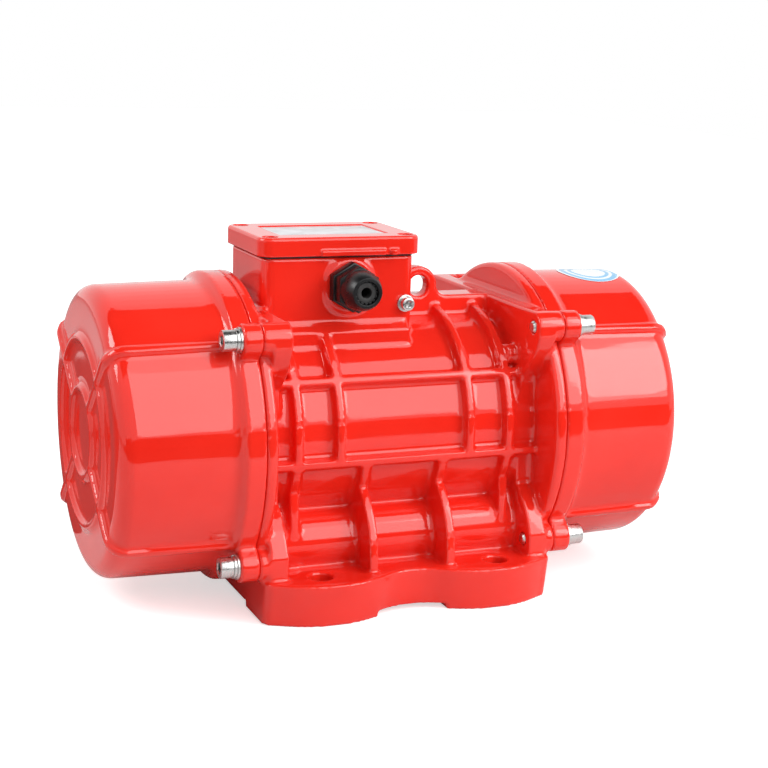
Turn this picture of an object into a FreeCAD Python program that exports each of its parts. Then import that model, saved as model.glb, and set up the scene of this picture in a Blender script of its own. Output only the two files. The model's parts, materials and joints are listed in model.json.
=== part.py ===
"""External vibration motor: a foot-mounted induction motor whose shaft carries a pair of
eccentric weights at each end, under round covers.

The frame has X along the shaft, -Y towards the cable gland, +Z up, and its origin on the
ground at the middle of the feet. Every driving size is a cell of the sheet "dims", in
millimetres and degrees. Pieces of the right-hand end are modelled and mirrored to the left.
"""
import FreeCAD
import Part
import Sketcher

import math
import os
import re

from FreeCAD import Placement, Rotation, Vector

SIZES = [
    # fixing to the machine
    ("overrun", 1, "how far a cut or a joined piece runs past a face"),
    ("sunk", 2, "how far a joined piece sinks into its neighbour"),
    ("foot_over", 20, "clearance of a foot bolt hole's cutter over the foot"),
    ("rail_sunk", 8, "how far the lifting rail sinks into the barrel"),
    ("corner_run", 1.25, "run of a foot corner as a multiple of its size"),
    ("corner_bow", 1.2, "radius of a foot corner as a multiple of its size"),
    ("rib_draft", 0.5, "draft on the side of a rib"),
    ("screw_gap", 0.3, "radial clearance of a screw in its hole"),
    ("ear_hole_gap", 0.5, "radial clearance of a cover screw in the cover"),
    ("ring_gap", 0.2, "radial clearance of a spring washer on its screw"),
    ("slit_half", 0.7, "half the slit of a spring washer"),
    ("tip_ratio", 0.8, "end of a screw's point against its radius"),
    ("head_edge", 0.6, "bevel of a screw head"),
    ("socket_ratio", 0.87, "size of a screw's socket against its radius"),
    ("lid_thread_l", 14, "depth of the lid screw threads"),
    ("plate_gap", 0.5, "gap around the plate in its recess"),
    ("groove_ratio", 0.6, "half width of the sealing groove against its ring"),
    ("gland_step", 0.5, "step from the gland's nut to its dome"),
    ("gland_dome_r", 22, "curve of the gland's dome"),
    ("claw_slit", 1.2, "slit between the gland's claws"),
    ("cage_over", 1.5, "how far a cage reaches past its rollers"),
    ("coil_round", 5, "bevel of the winding's end turns"),
    ("end_ring_step", 0.5, "step of the rotor's end rings under the core"),
    ("circlip_depth", 1, "depth of the circlip's groove"),
    ("circlip_over", 3, "how far a circlip stands over its shaft"),
    ("circlip_mouth", 4, "half the mouth of a circlip"),
    ("head_room", 1.5, "room around a clamp screw's head"),
    ("spacer_in", 6, "weight spacer inside the hub"),
    ("axis_z", 107.5, "height of the shaft above the ground"),
    ("bolt_pitch_x", 120, "foot bolts, spacing along the shaft"),
    ("bolt_pitch_y", 170, "foot bolts, spacing across the shaft"),
    ("bolt_hole_r", 7.5, "foot bolt hole"),
    ("fit_gap", 0.05, "radial clearance of pieces that locate in each other"),
    # feet
    ("foot_h", 27.5, "thickness of the feet"),
    ("foot_end_x", 97.4, "half length of the feet"),
    ("foot_corner", 7, "rounding of the foot corners"),
    ("lobe_x", 54.5, "place of the widest point of each lobe"),
    ("lobe_r", 66, "curvature of each lobe"),
    ("lobe_y_low", 100.5, "half width over the lobes at the ground"),
    ("lobe_y_top", 105, "half width over the lobes at the top"),
    ("waist_y_low", 86.5, "half width at the waist at the ground"),
    ("waist_y_top", 88.5, "half width at the waist at the top"),
    ("pad_gap_x", 24, "half gap between the ground pads along the shaft"),
    ("pad_gap_y", 50, "half gap between the ground pads across the shaft"),
    ("pad_lift", 3.5, "height of the ground pads"),
    ("core_h", 29, "height of the cored underside"),
    ("core_x", 80, "half length of the cored underside"),
    ("core_y", 44, "half width of the cored underside"),
    ("core_web_t", 8, "web left between the cores"),
    # barrel and its ribs
    ("bore_r", 62, "inside of the barrel"),
    ("barrel_wall", 6.5, "wall of the barrel"),
    ("root_r", 20, "hollow between barrel and feet"),
    ("rib_h", 7, "height of the ribs"),
    ("rib_t", 6, "thickness of the hoop ribs and webs"),
    ("axial_rib_t", 5, "thickness of the long ribs"),
    ("outer_rib_x", 72, "place of the outer hoop ribs"),
    ("inner_rib_x", 44.3, "place of the inner hoop ribs"),
    ("upper_rib_angle", 31.5, "long ribs above the shaft"),
    ("lower_rib_angle", 9.6, "long ribs below the shaft"),
    ("web_x", 26.3, "place of the middle webs"),
    ("web_reach", 90, "foot of the middle webs"),
    ("web_r", 53, "sweep of the middle webs"),
    ("side_web_reach", 68, "foot of the outer webs"),
    ("side_web_r", 150, "sweep of the outer webs"),
    ("web_neck_y", 67, "neck of the webs, from the middle"),
    ("web_neck_drop", 30, "neck of the webs, below the shaft"),
    ("web_top_r", 70, "sweep of the webs above their neck"),
    # end flanges
    ("parting_x", 100.6, "joint between housing and cover"),
    ("plate_x", 82, "inner face of the end plates"),
    ("disc_x", 93, "inner face of the round flanges"),
    ("disc_r", 99.4, "radius of the round flanges"),
    ("disc_round", 3, "rounding of the round flanges"),
    ("ear_out", 6.7, "cover screws outside the round flanges"),
    ("ear_angle", 41.5, "cover screws above and below the shaft"),
    ("ear_r", 10, "radius of the screw ears"),
    ("plate_neck_y", 66, "neck of the end plates, from the middle"),
    ("plate_neck_z", 36, "neck of the end plates, from the shaft"),
    ("plate_neck_r", 60, "sweep of the end plates beside their ears"),
    ("seat_x", 96, "shoulder that the bearing shield rests on"),
    ("boss_out", 11.5, "shield screws outside the bore"),
    ("shield_edge", 6.5, "flange of the bearing shield outside its screws"),
    ("boss_r", 6.5, "radius of the shield screw bosses"),
    ("boss_x", 75, "inner face of the shield screw bosses"),
    # rail and lifting eye
    ("rail_top", 188.3, "top of the lifting rail"),
    ("rail_y", 10.5, "half width of the lifting rail"),
    ("eye_x", 32.3, "lifting eye along the shaft"),
    ("eye_z", 195, "height of the lifting eye"),
    ("eye_hole_r", 7.1, "hole of the lifting eye"),
    ("eye_r", 13, "outside of the lifting eye"),
    ("eye_t", 11.5, "thickness of the lifting eye"),
    # terminal box
    ("box_x", -32.8, "middle of the terminal box along the shaft"),
    ("box_half_x", 50.8, "half length of the terminal box"),
    ("box_half_y", 35.5, "half width of the terminal box"),
    ("box_corner", 7, "corners of the terminal box"),
    ("box_wall", 4.5, "wall of the terminal box"),
    ("box_top", 219.2, "rim of the terminal box"),
    ("box_floor", 184, "floor of the terminal box"),
    ("skirt_y", 41, "half width of the skirt under the box"),
    ("skirt_top", 178.5, "upper edge of the skirt"),
    ("skirt_low", 172.5, "lower edge of the skirt"),
    ("skirt_x", 14, "right-hand end of the skirt"),
    ("gasket_t", 1.2, "thickness of the lid gasket"),
    ("lid_lip_x", 3.2, "lid's edge past the ends of the box"),
    ("lid_lip_y", 3, "lid's edge past the front and back of the box"),
    ("lid_corner", 9, "corners of the lid"),
    ("lid_t", 11.9, "height of the lid"),
    ("lid_hollow", 6, "depth of the hollow in the lid"),
    ("lid_round", 2, "rounding of the lid's upper edge"),
    ("lid_screw_inset", 5.3, "lid screws, in from the sides of the box"),
    ("lid_screw_r", 2.5, "lid screw"),
    ("lid_screw_l", 20, "lid screw under its head"),
    ("lid_sink", 6, "depth of the counterbores in the lid"),
    ("lid_sink_r", 5, "radius of the counterbores in the lid"),
    ("lid_band_low_x", -47, "left-hand end of the raised band on the lid's front"),
    ("lid_band_high_x", -4, "right-hand end of that band"),
    ("lid_band_h", 3.5, "height of that band"),
    ("lid_band_t", 1.4, "thickness of that band"),
    ("lid_bump_x", 2, "ejector bump on the lid's front"),
    ("lid_bump_r", 3.3, "radius of that bump"),
    ("pillar_r", 6.5, "pillars for the lid screws"),
    ("plate_half_x", 36, "half length of the rating plate"),
    ("plate_half_y", 22.5, "half width of the rating plate"),
    ("plate_t", 0.6, "thickness of the rating plate"),
    ("plate_sink", 1.3, "recess for the rating plate"),
    ("wire_hole_x", -66, "passage from the box to the winding"),
    ("wire_hole_r", 7, "radius of that passage"),
    # cable gland and earth screw
    ("gland_x", -27, "cable gland along the shaft"),
    ("gland_z", 201, "height of the cable gland"),
    ("gland_boss_r", 16.9, "boss around the gland"),
    ("gland_boss_t", 2, "height of that boss"),
    ("gland_thread_r", 10, "thread of the gland"),
    ("gland_hex_r", 16, "corner radius of the gland's hexagon"),
    ("gland_hex_t", 7, "thickness of the gland's hexagon"),
    ("gland_nut_hex_r", 14.8, "corner radius of the dome nut"),
    ("gland_nut_hex_t", 9, "hexagon length of the dome nut"),
    ("gland_nut_r", 12.7, "dome radius of the dome nut"),
    ("gland_tip_r", 9.5, "face radius of the dome nut"),
    ("gland_length", 30, "gland from the boss to its face"),
    ("gland_bore_r", 6.4, "clear bore of the gland"),
    ("gland_seal_bore_r", 3.4, "bore of the gland's seal"),
    ("gland_claw_r", 7.5, "outside of the gland's claws"),
    ("gland_neck", 18, "gland body inside its dome nut"),
    ("locknut_r", 13.5, "corner radius of the gland's locknut"),
    ("locknut_t", 4, "thickness of the gland's locknut"),
    ("earth_x", 12, "earth screw along the shaft"),
    ("earth_z", 188.5, "height of the earth screw"),
    ("earth_r", 2.5, "earth screw"),
    ("earth_l", 10, "earth screw under its head"),
    ("earth_washer_r", 5.5, "washer of the earth screw"),
    ("earth_washer_t", 1, "thickness of that washer"),
    ("small_head_r", 4.25, "head of the M5 screws"),
    ("small_head_h", 5, "height of the head of the M5 screws"),
    # terminal board
    ("board_x", -22, "middle of the terminal board along the shaft"),
    ("board_half_x", 26, "half length of the terminal board"),
    ("board_half_y", 16, "half width of the terminal board"),
    ("board_t", 6, "thickness of the terminal board"),
    ("stud_pitch_x", 16, "terminal studs along the shaft"),
    ("stud_y", 8, "terminal studs from the middle"),
    ("stud_r", 2.5, "terminal stud"),
    ("stud_l", 18, "terminal stud above the board"),
    ("nut_r", 4.6, "corner radius of a terminal nut"),
    ("nut_t", 4, "thickness of a terminal nut"),
    ("link_t", 1.2, "thickness of a terminal link"),
    ("link_half", 4, "half width of a terminal link"),
    # covers
    ("rim_step", 5.6, "step from the rim to the cover's side"),
    ("cover_taper", 0.014, "taper of the cover per millimetre"),
    ("cover_wall", 5, "wall of the cover"),
    ("cover_end_x", 188.8, "end face of the cover"),
    ("cover_round", 11, "rounding of the cover's end"),
    ("rim_t", 11.9, "thickness of the cover's rim"),
    ("rim_slope", 3.5, "slope from the rim to the cover"),
    ("cover_rib_h", 3.2, "height of the ribs on the cover"),
    ("cover_rib_t", 5, "thickness of the ribs on the cover"),
    ("cover_rib_high", 43.5, "ribs above the shaft"),
    ("cover_rib_low", 38, "ribs below the shaft"),
    ("small_ring_r", 28.2, "inner ring on the cover's end"),
    ("large_ring_r", 59.5, "outer ring on the cover's end"),
    ("ring_rib_t", 4.6, "thickness of those rings"),
    ("seal_in", 5.4, "sealing ring inside the edge of the flange"),
    ("seal_d", 2.4, "thickness of the cover's sealing ring"),
    # cover screws
    ("cover_screw_r", 4, "cover screw"),
    ("cover_screw_l", 35, "cover screw under its head"),
    ("cover_head_r", 6.5, "head of the cover screw"),
    ("spot_gap", 0.6, "spot face around the washer under a cover screw"),
    ("spot_h", 12, "height of the spot face's clearance over the ear"),
    ("cover_head_h", 8, "height of that head"),
    ("flat_washer_r", 8, "flat washer"),
    ("flat_washer_t", 1.6, "thickness of the flat washer"),
    ("spring_washer_r", 7.2, "spring washer"),
    ("spring_washer_t", 2, "thickness of the spring washer"),
    # bearings and their shields
    ("bearing_bore_r", 15, "bore of the bearing"),
    ("bearing_r", 36, "outside of the bearing"),
    ("bearing_t", 27, "width of the bearing"),
    ("bearing_x", 86.5, "middle of the bearing"),
    ("inner_race_r", 20.5, "inner raceway"),
    ("roller_r", 5.45, "roller"),
    ("roller_l", 17, "length of a roller"),
    ("roller_count", 10, "rollers in a bearing"),
    ("race_gap", 0.05, "play between rollers and raceways"),
    ("cage_t", 4.4, "thickness of the roller cage"),
    ("hub_r", 46, "hub of the bearing shield"),
    ("hub_lip", 3, "lip behind the bearing"),
    ("shield_t", 8, "flange of the bearing shield"),
    ("spigot_l", 7, "spigot of the bearing shield"),
    ("lip_r", 31, "inside of the lip behind the bearing"),
    ("race_lip_r", 29.5, "lips of the outer bearing ring"),
    ("cap_t", 3, "bearing cap"),
    ("cap_land_r", 32, "inside of the cap's spigot"),
    ("cap_bore_r", 15.5, "bore of the bearing cap"),
    ("shield_head_r", 5, "head of the shield screw"),
    ("shield_head_h", 6, "height of that head"),
    ("cap_screw_radius", 41, "cap screws from the shaft"),
    ("shield_screw_r", 3, "shield screw"),
    ("shield_screw_l", 20, "shield screw under its head"),
    ("cap_screw_r", 2.5, "cap screw"),
    ("cap_screw_l", 14, "cap screw under its head"),
    # motor inside
    ("core_half", 36, "half length of the laminated cores"),
    ("rotor_r", 37.7, "outside of the rotor"),
    ("air_gap", 0.35, "air gap between rotor and stator"),
    ("slot_depth", 14, "depth of the stator slots"),
    ("slot_t", 4.6, "width of the stator slots"),
    ("slot_count", 24, "stator slots"),
    ("coil_out", 22, "length of the coil heads"),
    ("coil_gap", 1.2, "space between coil head and core"),
    ("slot_lip", 1.5, "iron between slots and air gap"),
    ("coil_t", 18, "radial thickness of the coil heads"),
    ("core_shaft_r", 20, "shaft in the rotor"),
    ("shoulder_r", 18, "shaft between rotor and bearing"),
    ("end_ring_t", 9, "thickness of the rotor's end rings"),
    ("end_ring_in", 27, "inside of the rotor's end rings"),
    ("shaft_core_half", 47, "half length of the thick part of the shaft"),
    # eccentric weights
    ("weight_shaft_r", 14, "shaft in the weights"),
    ("weight_x", 114, "inner face of the fixed weight"),
    ("weight_t", 24, "thickness of each weight"),
    ("weight_room", 10.8, "space between the weights and the cover"),
    ("weight_sink", 10, "angle by which the weights stay below the shaft"),
    ("weight_hub_r", 27, "hub of the weights"),
    ("spacer_t", 2, "washer between the weights"),
    ("turn_gap", 0.3, "play on each side of the adjustable weight"),
    ("clamp_slit", 3, "slit in the hub of a weight"),
    ("clamp_z", 20.5, "clamp screw above the shaft's axis"),
    ("clamp_half", 14, "half width between the clamp faces"),
    ("scale_t", 1.5, "setting disc"),
    ("scale_r", 34, "radius of the setting disc"),
    ("circlip_t", 1.5, "circlip"),
    ("shaft_over", 4, "shaft beyond the circlip"),
    ("key_t", 8, "key width"),
    ("key_l", 20, "key length"),
    ("key_low", 17, "outer face of the key from the shaft's axis"),
    ("key_high", 10, "inner face of the key from the shaft's axis"),
]

FOLLOWING = {
    "barrel_r": "bore_r + barrel_wall",
    "crest_r": "barrel_r + rib_h",
    "ear_radius": "disc_r + ear_out",
    "ear_y": "ear_radius * cos(ear_angle)",
    "ear_z": "ear_radius * sin(ear_angle)",
    "boss_radius": "bore_r + boss_out",
    "seat_r": "boss_radius + shield_edge",
    "ear_face": "parting_x + rim_t",
    "cover_r": "disc_r - rim_step",
    "cover_end_r": "cover_r - cover_taper * (cover_end_x - parting_x)",
    "seal_r": "disc_r - seal_in",
    "lid_low": "box_top + gasket_t",
    "lid_top": "lid_low + lid_t",
    "lid_seat": "lid_top - lid_sink",
    "board_top": "box_floor + board_t",
    "gland_wall": "gland_boss_t + box_wall",
    "lid_half_x": "box_half_x + lid_lip_x",
    "lid_half_y": "box_half_y + lid_lip_y",
    "lid_screw_x": "box_half_x - lid_screw_inset",
    "lid_screw_y": "box_half_y - lid_screw_inset",
    "boss_face": "-box_half_y - gland_boss_t",
    "bearing_in": "bearing_x - bearing_t / 2",
    "bearing_out": "bearing_x + bearing_t / 2",
    "shield_face": "seat_x + shield_t",
    "outer_race_r": "inner_race_r + 2 * roller_r + 2 * race_gap",
    "pitch_r": "inner_race_r + roller_r + race_gap",
    "roller_low": "bearing_x - roller_l / 2",
    "roller_high": "bearing_x + roller_l / 2",
    "stator_in": "rotor_r + air_gap",
    "slot_low": "stator_in + slot_lip",
    "weight_r": "cover_r - cover_wall - weight_room",
    "free_x": "weight_x + weight_t + spacer_t + turn_gap",
    "scale_x": "free_x + weight_t + turn_gap",
    "circlip_x": "scale_x + scale_t",
    "shaft_end": "circlip_x + circlip_t + shaft_over",
}
SIDES = (-1, 1)

doc = FreeCAD.newDocument("vibration_motor")
sheet = doc.addObject("Spreadsheet::Sheet", "dims")
for row, (alias, number, note) in enumerate(SIZES, 1):
    sheet.set(f"A{row}", alias)
    sheet.set(f"B{row}", str(number))
    sheet.setAlias(f"B{row}", alias)
    sheet.set(f"C{row}", note)
doc.recompute()
ALIASES = {alias for alias, number, note in SIZES}
nodes = []


def cells(text):
    """The expression with each size's name led by its sheet, and each following size worked out."""
    def spell(word):
        if word[0] in FOLLOWING:
            return f"({cells(FOLLOWING[word[0]])})"
        return "dims." + word[0] if word[0] in ALIASES else word[0]
    return re.sub(r"[a-z]\w*", spell, str(text))


def size(text):
    """The present value of an expression of sizes."""
    return float(sheet.evalExpression(cells(text)))


# ---------------------------------------------------------------- drawing helpers

def new_body(name, on_axis=False):
    """An empty body, with its own X axis along the shaft when on_axis is set."""
    body = doc.addObject("PartDesign::Body", name)
    if on_axis:
        body.setExpression("Placement.Base.z", cells("axis_z"))
    return body


def origin_plane(body, role):
    """One of the body's own origin planes."""
    return next(plane for plane in body.Origin.OriginFeatures if plane.Role == role)


def bent_edge(start, end, radius):
    """An arc from start to end; a positive radius bulges to the left of that way."""
    chord = end - start
    across = Vector(-chord.y, chord.x, 0).normalize()
    rise = math.sqrt(max(radius * radius - chord.Length ** 2 / 4, 0))
    centre = (start + end) / 2 - across * rise * (1 if radius > 0 else -1)
    begin, finish = (end, start) if radius > 0 else (start, end)
    angles = [math.atan2(p.y - centre.y, p.x - centre.x) for p in (begin, finish)]
    return Part.ArcOfCircle(Part.Circle(centre, Vector(0, 0, 1), abs(radius)), *angles)


def outline(body, name, role, points, offset="0"):
    """A closed sketch on an origin plane, moved along the plane's normal by offset. A point is
    (across, up) or (across, up, radius), and the radius bends the edge that follows it."""
    sketch = body.newObject("Sketcher::SketchObject", name)
    sketch.AttachmentSupport = [(origin_plane(body, role), "")]
    sketch.MapMode = "FlatFace"
    sketch.setExpression("AttachmentOffset.Base.z", cells(offset))
    corners = [Vector(size(point[0]), size(point[1]), 0) for point in points]
    ends = []
    for at, point in enumerate(points):
        start, end = corners[at], corners[(at + 1) % len(points)]
        if len(point) == 2:
            sketch.addGeometry(Part.LineSegment(start, end), False)
            ends.append((1, 2))
        else:
            radius = size(point[2])
            sketch.addGeometry(bent_edge(start, end, radius), False)
            ends.append((2, 1) if radius > 0 else (1, 2))
    for at, point in enumerate(points):
        following = (at + 1) % len(points)
        sketch.addConstraint(Sketcher.Constraint("Coincident", at, ends[at][1], following,
                                                 ends[following][0]))
        for kind, value in (("DistanceX", point[0]), ("DistanceY", point[1])):
            number = sketch.addConstraint(Sketcher.Constraint(kind, at, ends[at][0], size(value)))
            sketch.setExpression(f"Constraints[{number}]", cells(value))
        if len(point) == 3:
            number = sketch.addConstraint(Sketcher.Constraint("Radius", at, abs(size(point[2]))))
            sketch.setExpression(f"Constraints[{number}]", cells(f"abs({point[2]})"))
    return sketch


def turn_feature(body, sketch, name):
    """The sketch turned once about the body's X axis."""
    feature = body.newObject("PartDesign::Revolution", name)
    feature.Profile = sketch
    feature.ReferenceAxis = (sketch, ["H_Axis"])
    feature.Angle = 360
    return feature


def turned(name, points, on_axis=True):
    """A body turned about its X axis from (along, radius) points."""
    body = new_body(name, on_axis)
    turn_feature(body, outline(body, name + "_profile", "XZ_Plane", points), name + "_turned")
    return body


def extruded(name, role, points, low, high, on_axis=False):
    """A body padded from low to high along the normal of one of its origin planes."""
    body = new_body(name, on_axis)
    start = f"-({high})" if role == "XZ_Plane" else low
    sketch = outline(body, name + "_profile", role, points, start)
    pad = body.newObject("PartDesign::Pad", name + "_pad")
    pad.Profile = sketch
    pad.setExpression("Length", cells(f"({high}) - ({low})"))
    return body


def box(name, x, y, z):
    """A block between the low and high values of each axis."""
    block = doc.addObject("Part::Box", name)
    for side, axis, (low, high) in zip(("Length", "Width", "Height"), "xyz", (x, y, z)):
        block.setExpression(side, cells(f"({high}) - ({low})"))
        block.setExpression(f"Placement.Base.{axis}", cells(low))
    return block


def spoke(name, x, low, high, thick, angle):
    """A block that stands out from the shaft between two radii, at an angle above +Y."""
    block = doc.addObject("Part::Box", name)
    block.setExpression("Length", cells(f"({x[1]}) - ({x[0]})"))
    block.setExpression("Width", cells(f"({high}) - ({low})"))
    block.setExpression("Height", cells(thick))
    block.Placement = Placement(Vector(), Rotation(Vector(1, 0, 0), 1))
    block.setExpression("Placement.Rotation.Angle", cells(angle))
    block.setExpression("Placement.Base.x", cells(x[0]))
    block.setExpression("Placement.Base.y",
                        cells(f"({low}) * cos({angle}) + ({thick}) / 2 * sin({angle})"))
    block.setExpression("Placement.Base.z",
                        cells(f"axis_z + ({low}) * sin({angle}) - ({thick}) / 2 * cos({angle})"))
    return block


def rod(name, radius, axis, across, low, high):
    """A cylinder along an axis; across holds its place on the other two axes, in their order."""
    cylinder = doc.addObject("Part::Cylinder", name)
    cylinder.setExpression("Radius", cells(radius))
    cylinder.setExpression("Height", cells(f"({high}) - ({low})"))
    turns = {"x": (Vector(0, 1, 0), 90), "y": (Vector(1, 0, 0), -90), "z": (Vector(0, 0, 1), 0)}
    cylinder.Placement = Placement(Vector(), Rotation(*turns[axis]))
    others = [letter for letter in "xyz" if letter != axis]
    for letter, value in [(axis, low), *zip(others, across)]:
        cylinder.setExpression(f"Placement.Base.{letter}", cells(value))
    return cylinder


def fused(name, *pieces):
    """The union of several pieces."""
    union = doc.addObject("Part::MultiFuse", name)
    union.Shapes = list(pieces)
    union.Refine = True
    return union


def cut(name, base, *tools):
    """base with the tools taken away."""
    result = doc.addObject("Part::Cut", name)
    result.Base = base
    result.Tool = tools[0] if len(tools) == 1 else fused(name + "_tools", *tools)
    result.Refine = True
    return result


def shared(name, first, second):
    """What two pieces have in common."""
    result = doc.addObject("Part::Common", name)
    result.Base = first
    result.Tool = second
    return result


def node(name, piece):
    """Gives a finished piece the name of its file."""
    piece.Label = name
    nodes.append(piece)
    return piece


def mirrored(name, source):
    """The left-hand twin of a right-hand piece."""
    twin = doc.addObject("Part::Mirroring", name)
    twin.Source = source
    twin.Base = Vector(0, 0, 0)
    twin.Normal = Vector(1, 0, 0)
    return twin


def both_ends(name, source):
    """Names a right-hand piece and makes its left-hand twin."""
    node("right_" + name, source)
    node("left_" + name, mirrored("left_" + name, source))


def pair(name, source):
    """A right-hand piece and its left-hand twin under one name."""
    both = doc.addObject("Part::Compound", name)
    both.Links = [source, mirrored(name + "_twin", source)]
    return node(name, both)


def grouped(name, pattern, places):
    """A group of equal pieces: one pattern at each place."""
    doc.recompute()
    group = doc.addObject("Part::Feature", name)
    copies = [pattern.Shape.copy() for place in places]
    for copy, place in zip(copies, places):
        copy.Placement = place.multiply(copy.Placement)
    group.Shape = Part.makeCompound(copies)
    return group


def around(count, start=0):
    """Equal turns about the shaft."""
    return [Placement(Vector(), Rotation(Vector(1, 0, 0), start + 360 * step / count),
                      Vector(0, 0, size("axis_z"))) for step in range(count)]


def stood(piece, direction, x, y, z):
    """A piece made along +X, now from (x, y, z) along direction."""
    piece.Placement = Placement(Vector(), facing(direction))
    for letter, value in zip("xyz", (x, y, z)):
        piece.setExpression(f"Placement.Base.{letter}", cells(value))
    return piece


def rounded_rectangle(x, half_x, half_y, corner):
    """Corner points of a rectangle about (x, 0) with round corners."""
    inner_x, inner_y = f"({half_x} - {corner})", f"({half_y} - {corner})"
    return [
        (f"{x} - {inner_x}", f"-{half_y}"),
        (f"{x} + {inner_x}", f"-{half_y}", f"-{corner}"),
        (f"{x} + {half_x}", f"-{inner_y}"),
        (f"{x} + {half_x}", inner_y, f"-{corner}"),
        (f"{x} + {inner_x}", half_y),
        (f"{x} - {inner_x}", half_y, f"-{corner}"),
        (f"{x} - {half_x}", inner_y),
        (f"{x} - {half_x}", f"-{inner_y}", f"-{corner}"),
    ]


def polar(radius, angle, flip=1):
    """Place of a point at a radius and at an angle above the front or rear, from the shaft."""
    turn = math.radians(size(angle))
    return Vector(0, flip * size(radius) * math.cos(turn), size(radius) * math.sin(turn))


def socket_screw(name, radius, length, head_r, head_h):
    """A socket-head screw along X: its head points to +X and its seat is at the origin."""
    blank = turned(name + "_blank", [
        (f"-({length})", "0"), (f"-({length})", f"({radius}) * tip_ratio"),
        (f"-({length}) + ({radius}) * (1 - tip_ratio)", radius), ("0", radius), ("0", head_r),
        (f"({head_h}) - head_edge", head_r), (head_h, f"({head_r}) - head_edge"), (head_h, "0")], False)
    socket = doc.addObject("Part::Prism", name + "_socket")
    socket.Polygon = 6
    socket.setExpression("Circumradius", cells(f"({radius}) * socket_ratio"))
    socket.setExpression("Height", cells(head_h))
    socket.Placement = Placement(Vector(), Rotation(Vector(0, 1, 0), 90))
    socket.setExpression("Placement.Base.x", cells(f"({head_h}) / 2"))
    return cut(name, blank, socket)


def hex_rod(name, radius, low, high):
    """A hexagonal bar along X with a corner on top."""
    prism = doc.addObject("Part::Prism", name)
    prism.Polygon = 6
    prism.setExpression("Circumradius", cells(radius))
    prism.setExpression("Height", cells(f"({high}) - ({low})"))
    prism.Placement = Placement(Vector(), Rotation(Vector(0, 1, 0), 90))
    prism.setExpression("Placement.Base.x", cells(low))
    return prism


def washer(name, radius, hole, thick):
    """A flat ring along X from the origin."""
    return turned(name, [("0", hole), (thick, hole), (thick, radius), ("0", radius)], False)


def facing(direction):
    """The turn that takes a piece along +X to point along direction."""
    return Rotation(Vector(1, 0, 0), direction)


# ---------------------------------------------------------------- housing: feet and barrel

def foot_outline(lobe_y, waist_y):
    """Outline of the feet at one height: four lobes with a waist on each long side."""
    fall = f"({lobe_y} - {waist_y})"
    spread = f"((lobe_x^2 + {fall}^2) / (2 * {fall}))"
    bend_x = f"(lobe_x - lobe_x * lobe_r / {spread})"
    bend_y = f"({lobe_y} - lobe_r + ({waist_y} + {spread} - {lobe_y}) * lobe_r / {spread})"
    waist_r = f"({spread} - lobe_r)"
    lobe_end = "(foot_end_x - foot_corner)"
    end_y = f"({lobe_y} - lobe_r + sqrt(lobe_r^2 - ({lobe_end} - lobe_x)^2))"
    side_y = f"({end_y} - foot_corner * corner_run)"
    front = [
        ("-foot_end_x", f"-{side_y}", "-foot_corner * corner_bow"),
        (f"-{lobe_end}", f"-{end_y}", "-lobe_r"),
        (f"-{bend_x}", f"-{bend_y}", waist_r),
        (bend_x, f"-{bend_y}", "-lobe_r"),
        (lobe_end, f"-{end_y}", "-foot_corner * corner_bow"),
        ("foot_end_x", f"-{side_y}"),
    ]
    rear = [(f"-({point[0]})", f"-({point[1]})", *point[2:]) for point in front]
    return front + rear


feet = new_body("feet")
foot_low = outline(feet, "foot_low", "XY_Plane", foot_outline("lobe_y_low", "waist_y_low"))
foot_top = outline(feet, "foot_top", "XY_Plane", foot_outline("lobe_y_top", "waist_y_top"), "foot_h")
foot_loft = feet.newObject("PartDesign::AdditiveLoft", "foot_loft")
foot_loft.Profile = foot_low
foot_loft.Sections = [foot_top]
foot_loft.Ruled = True

root_z = "(axis_z - foot_h - root_r)"
root_span = "(barrel_r + root_r)"
root_y = f"sqrt({root_span}^2 - {root_z}^2)"
root_up_y = f"(barrel_r * {root_y} / {root_span})"
root_up_z = f"(-barrel_r * {root_z} / {root_span})"
foot_line = "(foot_h - axis_z)"
pedestal = extruded("pedestal", "YZ_Plane", [
    (f"-{root_y}", foot_line, "root_r"), (f"-{root_up_y}", root_up_z),
    (root_up_y, root_up_z, "root_r"), (root_y, foot_line),
    (root_y, f"{foot_line} - sunk"), (f"-{root_y}", f"{foot_line} - sunk")],
    "-plate_x - overrun", "plate_x + overrun", True)

barrel = turned("barrel", [
    ("-parting_x", "0"), ("-parting_x", "disc_r"),
    ("-disc_x - disc_round", "disc_r", "disc_round"), ("-disc_x", "disc_r - disc_round"),
    ("-disc_x", "barrel_r"), ("disc_x", "barrel_r"),
    ("disc_x", "disc_r - disc_round", "disc_round"), ("disc_x + disc_round", "disc_r"),
    ("parting_x", "disc_r"), ("parting_x", "0")])


def web(name, middle, reach, sweep):
    """A web across the shaft, from the lower long rib down to the foot, front and rear."""
    top_y, top_z = "(crest_r * cos(lower_rib_angle))", "(-crest_r * sin(lower_rib_angle))"
    return extruded(name, "YZ_Plane", [
        (f"-{top_y}", top_z, "-web_top_r"), ("-web_neck_y", "-web_neck_drop", f"-({sweep})"),
        (f"-({reach})", foot_line), (f"-({reach})", f"{foot_line} - sunk"),
        (reach, f"{foot_line} - sunk"), (reach, foot_line, f"-({sweep})"),
        ("web_neck_y", "-web_neck_drop", "-web_top_r"), (top_y, top_z)],
        f"{middle} - rib_t / 2", f"{middle} + rib_t / 2", True)


webs = [web(f"web_{number}", middle, reach, sweep) for number, (middle, reach, sweep) in enumerate([
    ("-outer_rib_x", "side_web_reach", "side_web_r"), ("-web_x", "web_reach", "web_r"),
    ("web_x", "web_reach", "web_r"), ("outer_rib_x", "side_web_reach", "side_web_r")])]


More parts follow.
